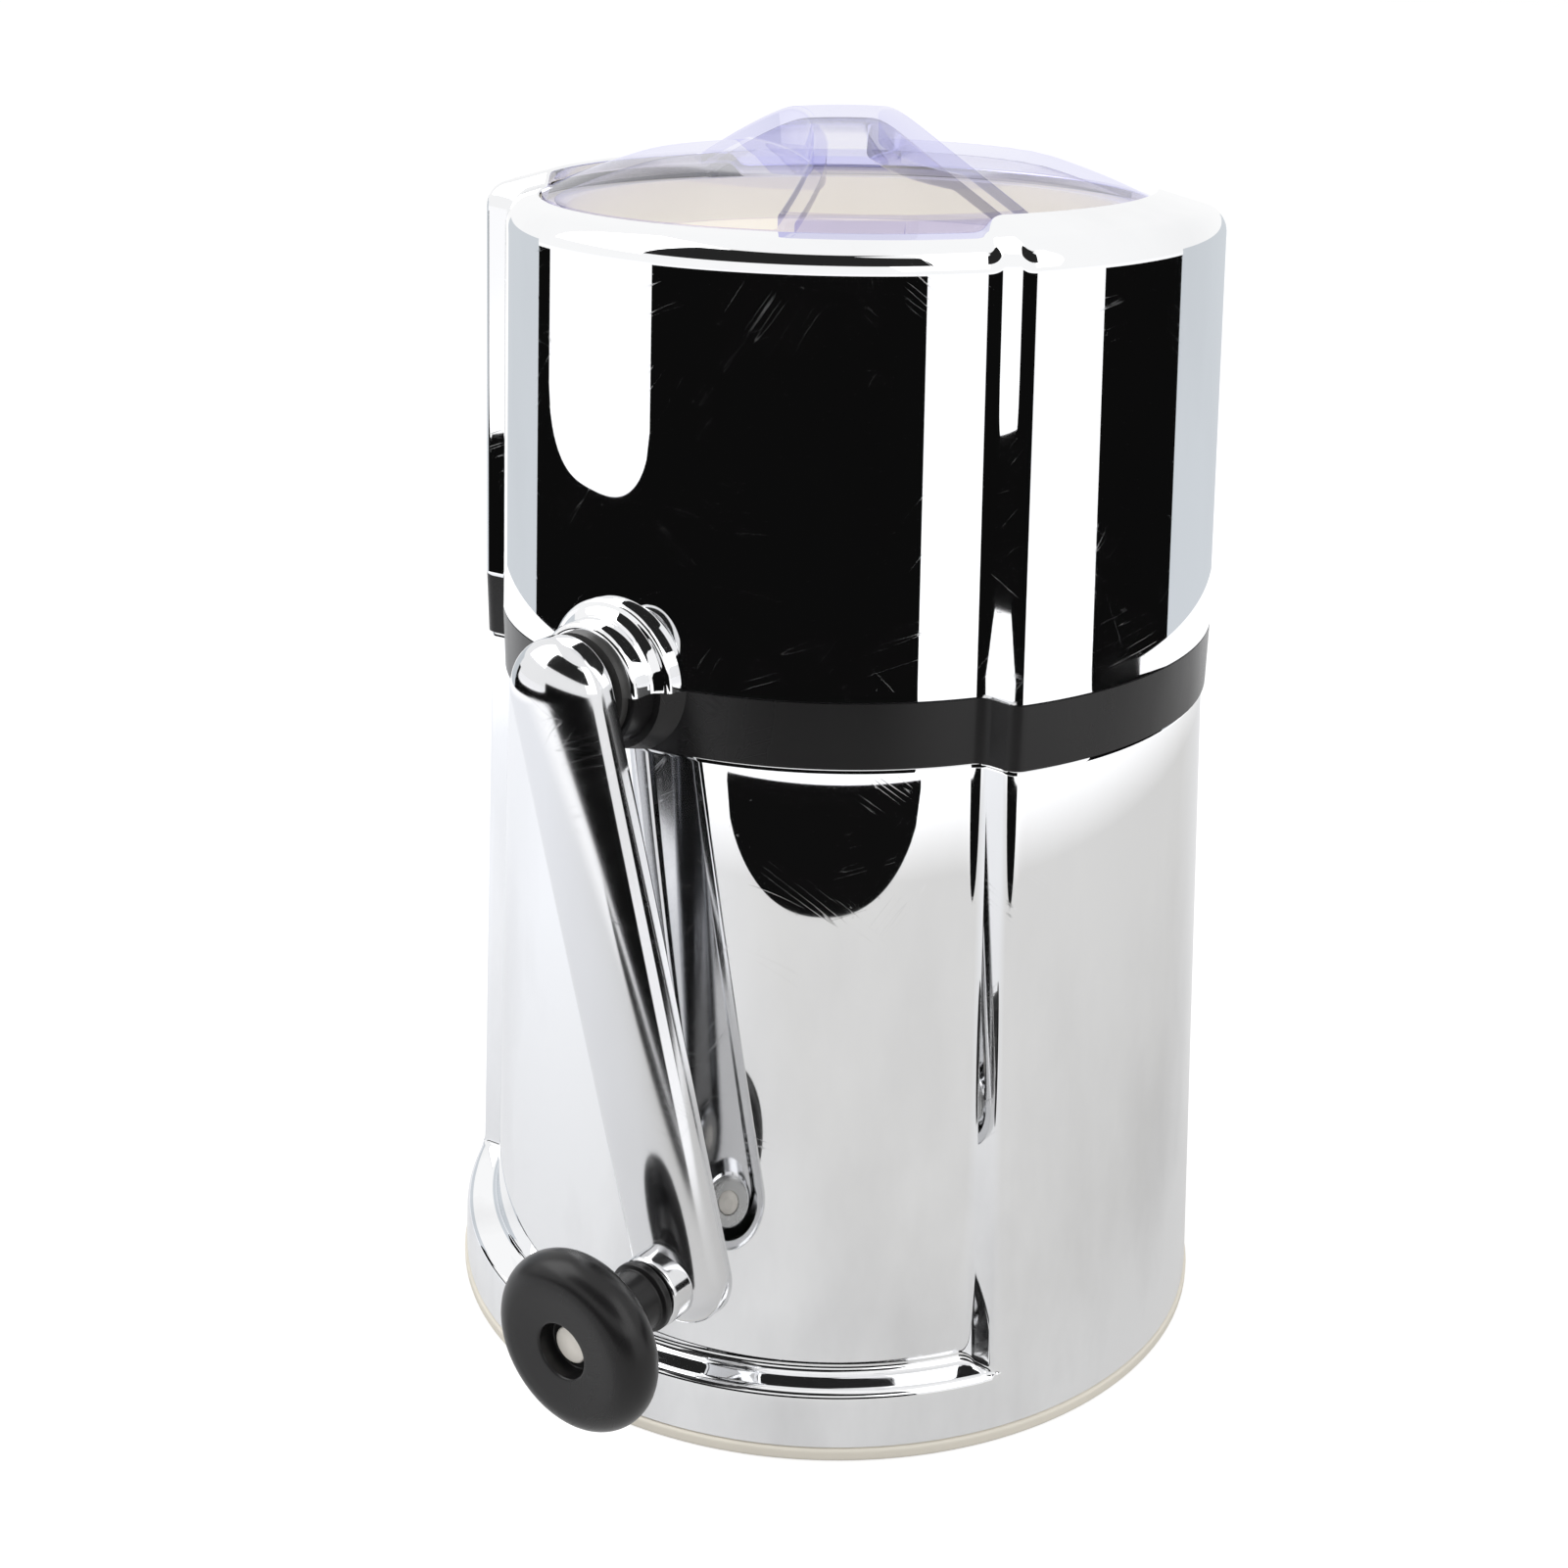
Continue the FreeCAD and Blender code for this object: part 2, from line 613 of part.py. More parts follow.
def hopper():
    """Ice hopper: a round mouth with the lid's seat, narrowing to the crusher's square throat."""
    mouth_r = LID_R - HOPPER_FLANGE_W / 2 + LOOSE * 2
    neck_z = LID_SEAT - HOPPER_COLLAR_H
    outer = funnel(mouth_r + HOPPER_WALL, HOPPER_WALL, neck_z)
    inner = funnel(mouth_r, 0, neck_z)
    flange = disc(mouth_r + HOPPER_FLANGE_W, LID_SEAT - HOPPER_FLANGE_H, LID_SEAT)
    room = turned(head_profile(PANEL_FACE - WALL, -WALL))
    return joined([outer, flange]).common(room).cut(inner)


def funnel(mouth_r, grow, neck_z):
    """The funnel's solid form: round above the neck, square at the throat."""
    x = THROAT_X / 2 + grow
    y = THROAT_Y / 2 + grow
    turn = math.degrees(math.atan2(x, y))
    angles = [turn, 180 - turn, 180 + turn, 360 - turn]
    arcs = []
    for index, start in enumerate(angles):
        end = angles[(index + 1) % 4] + (360 if index == 3 else 0)
        middle = (start + end) / 2
        points = [polar(mouth_r, angle, neck_z) for angle in (start, middle, end)]
        arcs.append(Part.Arc(*points).toShape())
    corners = [V(x, -y, FRAME_TOP), V(x, y, FRAME_TOP), V(-x, y, FRAME_TOP), V(-x, -y, FRAME_TOP)]
    sides = [Part.makeLine(corners[i], corners[(i + 1) % 4]) for i in range(4)]
    cone = Part.makeLoft([Part.Wire(sides), Part.Wire(arcs)], True, True)
    return joined([cone, disc(mouth_r, neck_z, LID_SEAT)])


def cap(radius, crown, edge_z):
    """A low dome of this rim radius and crown height, standing on a short drum."""
    sphere_r = (radius ** 2 + crown ** 2) / (2 * crown)
    ball = Part.makeSphere(sphere_r, V(0, 0, edge_z + crown - sphere_r))
    return ball.common(disc(radius, LID_SEAT, edge_z + 2 * crown))


def band_plan(inset):
    """Plan of the lid's raised band: narrow in the middle, flared towards both rims."""
    half = math.sqrt(LID_R ** 2 - (BAND_WAIST + BAND_FLARE) ** 2)
    right = []
    for step in range(-BAND_STEPS, BAND_STEPS + 1):
        share = BAND_OVERRUN * step / BAND_STEPS
        width = BAND_WAIST + BAND_FLARE * abs(share) ** BAND_FLARE_POWER - inset
        right.append(V(width, half * share, 0))
    left = [V(-p.x, -p.y, 0) for p in right]
    edges = []
    for points in (right, left):
        curve = Part.BSplineCurve()
        curve.interpolate(points)
        edges.append(curve.toShape())
    edges.insert(1, Part.makeLine(right[-1], left[0]))
    edges.append(Part.makeLine(left[-1], right[0]))
    return Part.Face(Part.Wire(edges))


def lid_form(inset):
    """The lid's solid form, set in and lowered by a wall's thickness for its hollow."""
    edge = SHELL_EDGE - inset
    dome = cap(LID_R - inset, LID_CROWN, edge)
    well_z = SHELL_EDGE + LID_CROWN - (sphere_drop(LID_R, LID_CROWN, WELL_R)) - inset
    dome = dome.cut(disc(WELL_R + inset, well_z, well_z + 2 * LID_CROWN))
    band = band_plan(inset).extrude(V(0, 0, 2 * SHELL_EDGE))
    ridge = cap(LID_R - inset, BAND_CROWN, edge + BAND_RISE).common(band)
    return joined([dome, ridge])


def sphere_drop(rim_r, crown, radius):
    """How far a dome has fallen below its crown at a radius."""
    sphere_r = (rim_r ** 2 + crown ** 2) / (2 * crown)
    return sphere_r - math.sqrt(sphere_r ** 2 - radius ** 2)


def lid():
    """Clear lid: a dome with a raised grip band, two flat finger wells and a locating skirt."""
    skirt_r = LID_R - HOPPER_FLANGE_W / 2 + LOOSE
    hollow = lid_form(LID_WALL).cut(disc(LID_R, 0, LID_SEAT + LID_WALL / 2))
    inner_r = skirt_r - LID_SKIRT_WALL
    body = lid_form(0).cut(hollow).cut(disc(inner_r, LID_SEAT, LID_SEAT + LID_WALL))
    body = joined([body, ring(skirt_r, inner_r, LID_SEAT - LID_SKIRT_H, LID_SEAT + LID_WALL / 2)])
    body.rotate(ORIGIN, UP, BAND_DEG)
    return body


def crank_shaft():
    """Steel shaft: round journals with a square part that drives the blades."""
    tail = REAR_FACE + SHAFT_TAIL
    body = rod(SHAFT_R, -tail, ARM_BACK + SHAFT_GRIP)
    half = THROAT_Y / 2 - END_ROOM / 2
    square = block(-SHAFT_R, SHAFT_R, -half, half, AXIS_Z - SHAFT_R, AXIS_Z + SHAFT_R)
    groove = rod(SHAFT_R, -REAR_FACE - LOOSE - RING_T, -REAR_FACE - LOOSE)
    groove = groove.cut(rod(SHAFT_R - RING_W / 4, -tail, 0))
    return joined([body, square]).cut(groove)


def blade_places():
    """Reach of the rear face of each blade along the shaft."""
    return [(index - (BLADE_COUNT - 1) / 2) * BLADE_PITCH - BLADE_T / 2 for index in range(BLADE_COUNT)]


def rotor_blades():
    """Pointed blades on the square shaft, each turned a step from the one before."""
    blades = []
    for index, back in enumerate(blade_places()):
        points = []
        for tooth in range(BLADE_POINTS):
            centre = tooth * 360 / BLADE_POINTS + index * BLADE_STEP_DEG
            half_gap = 180 / BLADE_POINTS
            for radius, angle in ((BLADE_R, centre - BLADE_TIP_DEG / 2), (BLADE_R, centre + BLADE_TIP_DEG / 2),
                                  (BLADE_ROOT_R, centre + half_gap)):
                turn = math.radians(angle)
                points.append(V(radius * math.sin(turn), -back, AXIS_Z + radius * math.cos(turn)))
        plate = closed_face(points).extrude(FRONT * BLADE_T)
        side = SHAFT_R + SLIP
        blades.append(plate.cut(block(-side, side, -back - BLADE_T, -back, AXIS_Z - side, AXIS_Z + side)))
    return group(blades)


def rotor_spacers():
    """Tubes on the shaft that keep the blades apart."""
    places = blade_places()
    half = THROAT_Y / 2 - END_ROOM / 2
    starts = [-half] + [place + BLADE_T for place in places]
    ends = places + [half]
    bore = SHAFT_R * math.sqrt(2) + SLIP
    return group([rod(SPACER_R, a, b).cut(rod(bore, a, b)) for a, b in zip(starts, ends)])


def retaining_ring():
    """Spring ring in the shaft's groove behind the rear bearing."""
    back = -REAR_FACE - LOOSE - RING_T
    body = rod(SHAFT_R + RING_W, back, back + RING_T).cut(rod(SHAFT_R - RING_W / 4, back, back + RING_T))
    gap = block(-RING_T, RING_T, -back - RING_T, -back, AXIS_Z, AXIS_Z + 2 * SHAFT_R)
    return body.cut(gap)


def thrust_washer():
    """Washer between the crank's hub and the front bush."""
    body = rod(THRUST_WASHER_R, ARM_BACK - THRUST_WASHER_H, ARM_BACK)
    return body.cut(rod(SHAFT_R + SLIP, ARM_BACK - THRUST_WASHER_H, ARM_BACK))


def arm_outline(hub_r, end_r):
    """The arm's outline at its back, hanging straight down: two round ends and their tangents."""
    end_z = AXIS_Z - ARM_LENGTH
    lean = math.asin((hub_r - end_r) / ARM_LENGTH)
    hub = [V(i * hub_r * math.cos(lean), -ARM_BACK, AXIS_Z - hub_r * math.sin(lean)) for i in (-1, 1)]
    end = [V(i * end_r * math.cos(lean), -ARM_BACK, end_z - end_r * math.sin(lean)) for i in (-1, 1)]
    edges = [
        Part.Arc(hub[1], V(0, -ARM_BACK, AXIS_Z + hub_r), hub[0]).toShape(),
        Part.makeLine(hub[0], end[0]),
        Part.Arc(end[0], V(0, -ARM_BACK, end_z - end_r), end[1]).toShape(),
        Part.makeLine(end[1], hub[1])]
    return Part.Face(Part.Wire(edges))


def crank_arm():
    """Chromed crank arm, hollow behind, with a shaft socket and a boss for the knob's pin."""
    end_z = AXIS_Z - ARM_LENGTH
    form = arm_outline(ARM_HUB_R, ARM_END_R).extrude(FRONT * (ARM_FRONT - ARM_BACK))
    form = rounded(form, ARM_ROUND, lambda e: is_front(e, ARM_FRONT))
    channel_front = ARM_BACK + ARM_CHANNEL
    channel = arm_outline(ARM_HUB_R - ARM_SKIN, ARM_END_R - ARM_SKIN).extrude(FRONT * ARM_CHANNEL)
    pads = [rod(ARM_PAD_R, ARM_BACK, channel_front),
            rod(ARM_END_PAD_R, ARM_BACK + PIN_WASHER_H + PIN_TAIL, channel_front, z=end_z)]
    nose = rod(ARM_BOSS_R, channel_front, ARM_BOSS_END, z=end_z)
    body = joined([form.cut(channel)] + pads + [nose])
    body = rounded(body, NOSE_ROUND, lambda e: is_front(e, ARM_BOSS_END))
    body = body.cut(rod(SHAFT_R + SLIP, ARM_BACK, ARM_BACK + SHAFT_GRIP + SLIP))
    body = body.cut(rod(PIN_R + SLIP, ARM_BACK, ARM_BOSS_END, z=end_z))
    body.rotate(V(0, 0, AXIS_Z), V(0, 1, 0), -ARM_HANG_DEG)
    return body


def is_front(edge, reach):
    """Whether an edge lies in the upright plane at this reach in front of the body's axis."""
    box = edge.BoundBox
    return abs(box.YMin + reach) < 0.01 and abs(box.YMax + reach) < 0.01


def knob_pin():
    """Steel pin riveted in the arm; its head keeps the knob on."""
    back = ARM_BACK + PIN_WASHER_H
    head_back = KNOB_FRONT - KNOB_WELL_D + RUNNING
    shank = rod(PIN_R, back - PIN_TAIL / 2, head_back, KNOB_X, KNOB_Z)
    head = rod(PIN_HEAD_R, head_back, head_back + PIN_HEAD_H, KNOB_X, KNOB_Z)
    return joined([shank, head])


def pin_washer():
    """Washer behind the arm under the pin's riveted end."""
    back = ARM_BACK + PIN_TAIL
    body = rod(PIN_WASHER_R, back, back + PIN_WASHER_H, KNOB_X, KNOB_Z)
    return body.cut(rod(PIN_R + SLIP, back, back + PIN_WASHER_H, KNOB_X, KNOB_Z))


def knob():
    """Turning knob: a thick round-edged disc on a flared neck, with a well for the pin's head."""
    bore = PIN_R + RUNNING
    back = KNOB_BACK
    disc_back = KNOB_BACK + KNOB_NECK_L
    half = KNOB_T / 2
    edge_r = KNOB_R - half
    well = KNOB_FRONT - KNOB_WELL_D
    rim = Part.Arc(V(edge_r, disc_back, 0), V(KNOB_R, disc_back + half, 0), V(edge_r, KNOB_FRONT, 0)).toShape()
    corners = [V(edge_r, KNOB_FRONT, 0), V(KNOB_WELL_R, KNOB_FRONT, 0), V(KNOB_WELL_R, well, 0), V(bore, well, 0),
               V(bore, back, 0), V(KNOB_NECK_R, back, 0), V(KNOB_FLARE_R, disc_back - KNOB_FLARE_ROOT, 0),
               V(KNOB_FLARE_R + KNOB_FLARE_ROOT, disc_back, 0), V(edge_r, disc_back, 0)]
    lines = [Part.makeLine(a, b) for a, b in zip(corners, corners[1:])]
    profile = Part.Face(Part.Wire([rim] + lines))
    body = profile.revolve(ORIGIN, V(0, 1, 0), 360)
    body.rotate(ORIGIN, V(1, 0, 0), 180)
    body.translate(V(KNOB_X, 0, KNOB_Z))
    return body


def main():
    """Write every sub-part to its own file."""
    os.makedirs("parts", exist_ok=True)
    nodes = {
        "base_pad": base_pad(), "base_plate": base_plate(), "base_screws": base_screws(),
        "bin_shell": bin_shell(), "ice_cup": ice_cup(), "collar": collar(),
        "upper_shell": upper_shell(), "housing_screws": housing_screws(),
        "crusher_frame": crusher_frame(), "frame_screws": frame_screws(),
        "comb_right": comb(1), "comb_left": comb(-1), "comb_screws": comb_screws(),
        "front_bush": front_bush(), "rear_bush": rear_bush(), "hopper": hopper(), "lid": lid(),
        "crank_shaft": crank_shaft(), "rotor_blades": rotor_blades(), "rotor_spacers": rotor_spacers(),
        "retaining_ring": retaining_ring(), "thrust_washer": thrust_washer(),
        "crank_arm": crank_arm(), "knob_pin": knob_pin(), "pin_washer": pin_washer(), "knob": knob(),
    }
    for name, shape in nodes.items():
        shape.exportStep("parts/" + name + ".step")
        box = shape.BoundBox
        print(f"{name}: {len(shape.Solids)} solids, valid {shape.isValid()}, volume {shape.Volume:.0f}, "
              f"z {box.ZMin:.1f}..{box.ZMax:.1f}, y {box.YMin:.1f}..{box.YMax:.1f}")


if __name__ == "__main__":
    main()
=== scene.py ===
"""Looks of a hand crank ice crusher: chromed shells, black collar and knob, clear lid, cream liner."""

import logging
import math
from dataclasses import dataclass, field
from enum import Enum
from typing import Callable, Iterable, Sequence

import bmesh
import bpy
from mathutils import Matrix, Vector


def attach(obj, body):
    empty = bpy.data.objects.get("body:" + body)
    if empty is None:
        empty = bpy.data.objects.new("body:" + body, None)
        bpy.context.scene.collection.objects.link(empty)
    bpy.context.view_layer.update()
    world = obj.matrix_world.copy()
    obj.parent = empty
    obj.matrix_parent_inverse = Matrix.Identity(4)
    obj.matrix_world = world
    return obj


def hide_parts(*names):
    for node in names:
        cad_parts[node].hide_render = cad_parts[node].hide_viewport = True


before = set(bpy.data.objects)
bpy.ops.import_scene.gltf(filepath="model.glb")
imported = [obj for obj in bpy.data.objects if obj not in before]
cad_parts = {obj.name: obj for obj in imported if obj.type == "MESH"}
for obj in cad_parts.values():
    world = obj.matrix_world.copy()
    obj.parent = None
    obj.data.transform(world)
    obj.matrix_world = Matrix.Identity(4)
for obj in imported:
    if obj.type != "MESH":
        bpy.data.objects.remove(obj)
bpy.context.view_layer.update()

LOG = logging.getLogger("ice_crusher")
MM = 0.001
SUPPORT = 0.5
MERGE = MM * 0.002
SLIVER = MM * 0.001
Point = tuple[float, float, float]
Flat = tuple[float, float]
Colour = tuple[float, float, float]


class Body(Enum):
    """The moving bodies of the crusher."""

    BIN = "bin"
    HEAD = "head"
    LID = "lid"
    CRANK = "crank"
    KNOB = "knob"


class Slot(Enum):
    """The record's finish slots, listed here but not given to any piece."""

    CHROME = "chrome"
    BLACK = "black_plastic"
    PAD = "cream_rubber"
    CREAM = "cream_plastic"
    CLEAR = "clear_plastic"
    STEEL = "steel"


class Axis(Enum):
    """The direction that a turned piece is turned about."""

    UP = "up"
    FRONT = "front"


def lerp(start: float, end: float, share: float) -> float:
    """Value at a share of the way from start to end."""
    return start + (end - start) * share


def spaced(start: float, end: float, count: int) -> list[float]:
    """Evenly spaced values that include both ends."""
    return [lerp(start, end, i / (count - 1)) for i in range(count)]


def arc(centre: Flat, radius: float, start: float, end: float, steps: int) -> list[Flat]:
    """Points along an arc.

    Args:
        centre: The arc's centre.
        radius: Its radius.
        start: First angle in degrees.
        end: Last angle in degrees.
        steps: Number of runs that it is cut into.

    Returns:
        steps + 1 points.
    """
    turns = [math.radians(angle) for angle in spaced(start, end, steps + 1)]
    return [(centre[0] + radius * math.cos(t), centre[1] + radius * math.sin(t)) for t in turns]


@dataclass(frozen=True)
class Corner:
    """A corner of an outline.

    Attributes:
        x: First coordinate, in millimetres.
        y: Second coordinate, in millimetres.
        round: Radius of the corner's rounding.
        splits: Runs that the straight stretch before the corner is cut into.
    """

    x: float
    y: float
    round: float = 0.0
    splits: int = 1


def outline(corners: Sequence[Corner], steps: int = 6) -> list[Flat]:
    """An open outline with rounded corners.

    Args:
        corners: The corners in order; the first and last stay sharp.
        steps: Runs in each rounding.

    Returns:
        The outline's points, as many for any outline with the same kinds of corners.
    """
    points: list[Flat] = [(corners[0].x, corners[0].y)]
    for index in range(1, len(corners)):
        corner = corners[index]
        here = Vector((corner.x, corner.y))
        if corner.round and index < len(corners) - 1:
            before = (Vector((corners[index - 1].x, corners[index - 1].y)) - here).normalized()
            after = (Vector((corners[index + 1].x, corners[index + 1].y)) - here).normalized()
            half = before.angle(after) / 2
            entry = here + before * corner.round / math.tan(half)
            leave = here + after * corner.round / math.tan(half)
            centre = here + (before + after).normalized() * corner.round / math.sin(half)
            spokes = [(entry - centre).slerp(leave - centre, i / steps) for i in range(steps + 1)]
            bend = [tuple(centre + spoke * corner.round) for spoke in spokes]
            hold = min(SUPPORT, (entry - Vector(points[-1])).length / 2)
            bend.insert(0, tuple(entry + before * hold))
            bend.append(tuple(leave + after * SUPPORT / 2))
        else:
            bend = [tuple(here)]
        last = points[-1]
        for i in range(1, corner.splits):
            share = i / corner.splits
            points.append((lerp(last[0], bend[0][0], share), lerp(last[1], bend[0][1], share)))
        points += bend
    return points


class Form:
    """A mesh being put together from grids of points in millimetres."""

    def __init__(self) -> None:
        """Start with no points."""
        self.mesh = bmesh.new()

    def grid(self, rows: Sequence[Sequence[Point]], ring: bool = True, loop: bool = False) -> "Form":
        """Add a grid of faces.

        Args:
            rows: Rows of points, all of one length.
            ring: Whether each row closes on itself.
            loop: Whether the last row joins the first.

        Returns:
            The form itself.
        """
        verts = [[self.mesh.verts.new(Vector(p) * MM) for p in row] for row in rows]
        height = len(rows) if loop else len(rows) - 1
        width = len(rows[0]) if ring else len(rows[0]) - 1
        for i in range(height):
            low, high = verts[i], verts[(i + 1) % len(rows)]
            for j in range(width):
                k = (j + 1) % len(low)
                self.mesh.faces.new((low[j], low[k], high[k], high[j]))
        return self

    def cap(self, row: Sequence[Point]) -> "Form":
        """Close a ring of points with one flat face."""
        self.mesh.faces.new([self.mesh.verts.new(Vector(p) * MM) for p in row])
        return self

    def move(self, matrix: Matrix) -> "Form":
        """Turn or shift everything made so far."""
        self.mesh.transform(matrix)
        return self

    def done(self, name: str, sharp: float = 32.0) -> bpy.types.Object:
        """Merge, orient and shade the form.

        Args:
            name: Name of the new object.
            sharp: Angle in degrees above which an edge stays crisp.

        Returns:
            The finished object, placed by its mesh.
        """
        data = bpy.data.meshes.new(name)
        cleaned(self.mesh, data)
        return placed(name, data, sharp)


def cleaned(made: bmesh.types.BMesh, data: bpy.types.Mesh) -> None:
    """Merge what meets, turn the faces outwards and write the result.

    Args:
        made: The faces, which are freed.
        data: The mesh that takes them.
    """
    bmesh.ops.remove_doubles(made, verts=made.verts, dist=MERGE)
    bmesh.ops.dissolve_degenerate(made, edges=made.edges, dist=SLIVER)
    bmesh.ops.recalc_face_normals(made, faces=made.faces)
    made.to_mesh(data)
    made.free()


def placed(name: str, data: bpy.types.Mesh, sharp: float) -> bpy.types.Object:
    """An object in the scene for a mesh, smooth up to an angle.

    Args:
        name: Name of the object.
        data: Its mesh.
        sharp: Angle in degrees above which an edge stays crisp.

    Returns:
        The object.
    """
    data.shade_smooth()
    data.set_sharp_from_angle(angle=math.radians(sharp))
    piece = bpy.data.objects.new(name, data)
    bpy.context.scene.collection.objects.link(piece)
    return piece


def settle(
    piece: bpy.types.Object, body: Body, paint: bpy.types.Material, nodes: Iterable[str] = ()
) -> bpy.types.Object:
    """Dress a finished piece and tie it to its body.

    Args:
        piece: The finished piece.
        body: The body that it rides on.
        paint: Its material.
        nodes: The CAD nodes that it stands for.

    Returns:
        The piece.
    """
    piece.data.materials.clear()
    piece.data.materials.append(paint)
    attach(piece, body.value)
    if nodes:
        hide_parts(*nodes)
    LOG.info("%s: %d faces on %s", piece.name, len(piece.data.polygons), body.value)
    return piece


def dress(node: str, paint: bpy.types.Material) -> None:
    """Give a carried-over CAD node its finished material."""
    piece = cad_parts[node]
    for index in range(len(piece.data.materials)):
        piece.data.materials[index] = paint
    if not piece.data.materials:
        piece.data.materials.append(paint)
    LOG.info("%s: dressed with %s", node, paint.name)


class Graph:
    """A node tree being wired."""

    MIX_FIRST = 6
    MIX_SECOND = 7
    MIX_RESULT = 2
    SCRATCH_TURNS = ((0.3, 0.6, 0.5), (1.2, -0.9, 0.9), (0.8, 1.2, 0.2), (2.4, -0.35, 1.9))
    SCRATCH_LENGTH = 28.0
    PATCH_SHARE = 0.16
    PATCH_START = 0.66
    PATCH_FULL = 0.72
    PATCH_COVER = 0.2

    def __init__(self, tree: bpy.types.NodeTree) -> None:
        """Start on an emptied tree."""
        self.tree = tree
        tree.nodes.clear()

    @classmethod
    def material(cls, name: str) -> "Graph":
        """A graph on a new material."""
        made = bpy.data.materials.new(name)
        made.use_nodes = True
        graph = cls(made.node_tree)
        graph.owner = made
        return graph

    def add(self, kind: str, inputs: dict | None = None, **settings: object) -> bpy.types.Node:
        """Add a node.

        Args:
            kind: The node's type.
            inputs: Values or sockets by input name or index.
            settings: Properties of the node.

        Returns:
            The node.
        """
        node = self.tree.nodes.new(kind)
        for key, value in settings.items():
            setattr(node, key, value)
        for key, value in (inputs or {}).items():
            if isinstance(value, bpy.types.NodeSocket):
                self.tree.links.new(value, node.inputs[key])
            else:
                node.inputs[key].default_value = value
        return node

    def maths(self, operation: str, first: object, second: object = 0.0) -> bpy.types.NodeSocket:
        """Output of a Math node on two values."""
        return self.add("ShaderNodeMath", {0: first, 1: second}, operation=operation).outputs[0]

    def ranged(self, value: object, low: float, high: float, to_low: float, to_high: float) -> object:
        """A value moved from one range to another and held inside it."""
        inputs = {"Value": value, "From Min": low, "From Max": high, "To Min": to_low, "To Max": to_high}
        return self.add("ShaderNodeMapRange", inputs).outputs[0]

    def noise(self, scale: float, detail: float = 3.0, place: object = None) -> bpy.types.NodeSocket:
        """Noise at a scale, on the piece's own coordinates unless a place is given."""
        inputs = {"Vector": place or self.place(), "Scale": scale, "Detail": detail}
        return self.add("ShaderNodeTexNoise", inputs).outputs[0]

    def mix(self, share: object, first: object, second: object) -> bpy.types.NodeSocket:
        """Blend two colours.

        Args:
            share: Share of the second colour, from 0 to 1.
            first: A colour or a socket.
            second: A colour or a socket.

        Returns:
            The blended colour.
        """
        inputs = {"Factor": share}
        for index, colour in ((self.MIX_FIRST, first), (self.MIX_SECOND, second)):
            inputs[index] = colour if isinstance(colour, bpy.types.NodeSocket) else (*colour, 1.0)
        return self.add("ShaderNodeMix", inputs, data_type="RGBA").outputs[self.MIX_RESULT]

    def place(self) -> bpy.types.NodeSocket:
        """The piece's own coordinates, in metres."""
        return self.add("ShaderNodeTexCoord").outputs["Object"]

    def height(self) -> bpy.types.NodeSocket:
        """Height above the floor, in metres."""
        return self.add("ShaderNodeSeparateXYZ", {0: self.place()}).outputs[2]

    def stretched(self, scale: Point) -> bpy.types.NodeSocket:
        """The piece's coordinates stretched along each axis."""
        return self.add("ShaderNodeMapping", {"Vector": self.place(), "Scale": scale}).outputs[0]

    def scratches(self, scale: float, width: float, cover: float) -> bpy.types.NodeSocket:
        """Fine hairlines that run in a few directions and break off.

        Args:
            scale: Lines per metre.
            width: Share of the spacing that a line takes.
            cover: Share of the surface that keeps its lines, from 0 to 1.

        Returns:
            1 on a line and 0 elsewhere.
        """
        total = None
        start = self.PATCH_START - cover * self.PATCH_COVER
        full = self.PATCH_FULL - cover * self.PATCH_COVER
        for turn in self.SCRATCH_TURNS:
            place = self.add("ShaderNodeMapping", {
                "Vector": self.place(), "Rotation": turn,
                "Scale": (1.0, self.SCRATCH_LENGTH, self.SCRATCH_LENGTH)},
                vector_type="TEXTURE").outputs[0]
            off = self.maths("ABSOLUTE", self.maths("SUBTRACT", self.noise(scale, 1.0, place), 0.5))
            line = self.ranged(off, 0.0, width, 1.0, 0.0)
            where = self.add("ShaderNodeMapping", {"Vector": self.place(), "Location": turn}).outputs[0]
            patch = self.ranged(self.noise(scale * self.PATCH_SHARE, 2.0, where), start, full, 0.0, 1.0)
            kept = self.maths("MULTIPLY", line, patch)
            total = kept if total is None else self.maths("MAXIMUM", total, kept)
        return total

    def bump(self, height: object, strength: float, depth: float) -> bpy.types.NodeSocket:
        """Normal of a bumped surface, with the depth in metres."""
        inputs = {"Height": height, "Strength": strength, "Distance": depth}
        return self.add("ShaderNodeBump", inputs).outputs[0]

    def mirrored(self, path: bpy.types.Node) -> bpy.types.NodeSocket:
        """1 for the rays that metal or clear plastic sends on."""
        return self.maths("MAXIMUM", path.outputs["Is Glossy Ray"], path.outputs["Is Transmission Ray"])

    def finish(self, geometry: object, paint: object) -> None:
        """End a geometry tree in Realize Instances and Set Material."""
        real = self.add("GeometryNodeRealizeInstances", {"Geometry": geometry})
        coloured = self.add("GeometryNodeSetMaterial", {"Geometry": real.outputs[0], "Material": paint})
        self.add("NodeGroupOutput", {"Geometry": coloured.outputs[0]})

    def surface(self, shader: bpy.types.Node, volume: object = None) -> bpy.types.Material:
        """Join a shader to the output and return the material."""
        links = {"Surface": shader.outputs[0]}
        if volume:
            links["Volume"] = volume.outputs[0]
        self.add("ShaderNodeOutputMaterial", links)
        return self.owner


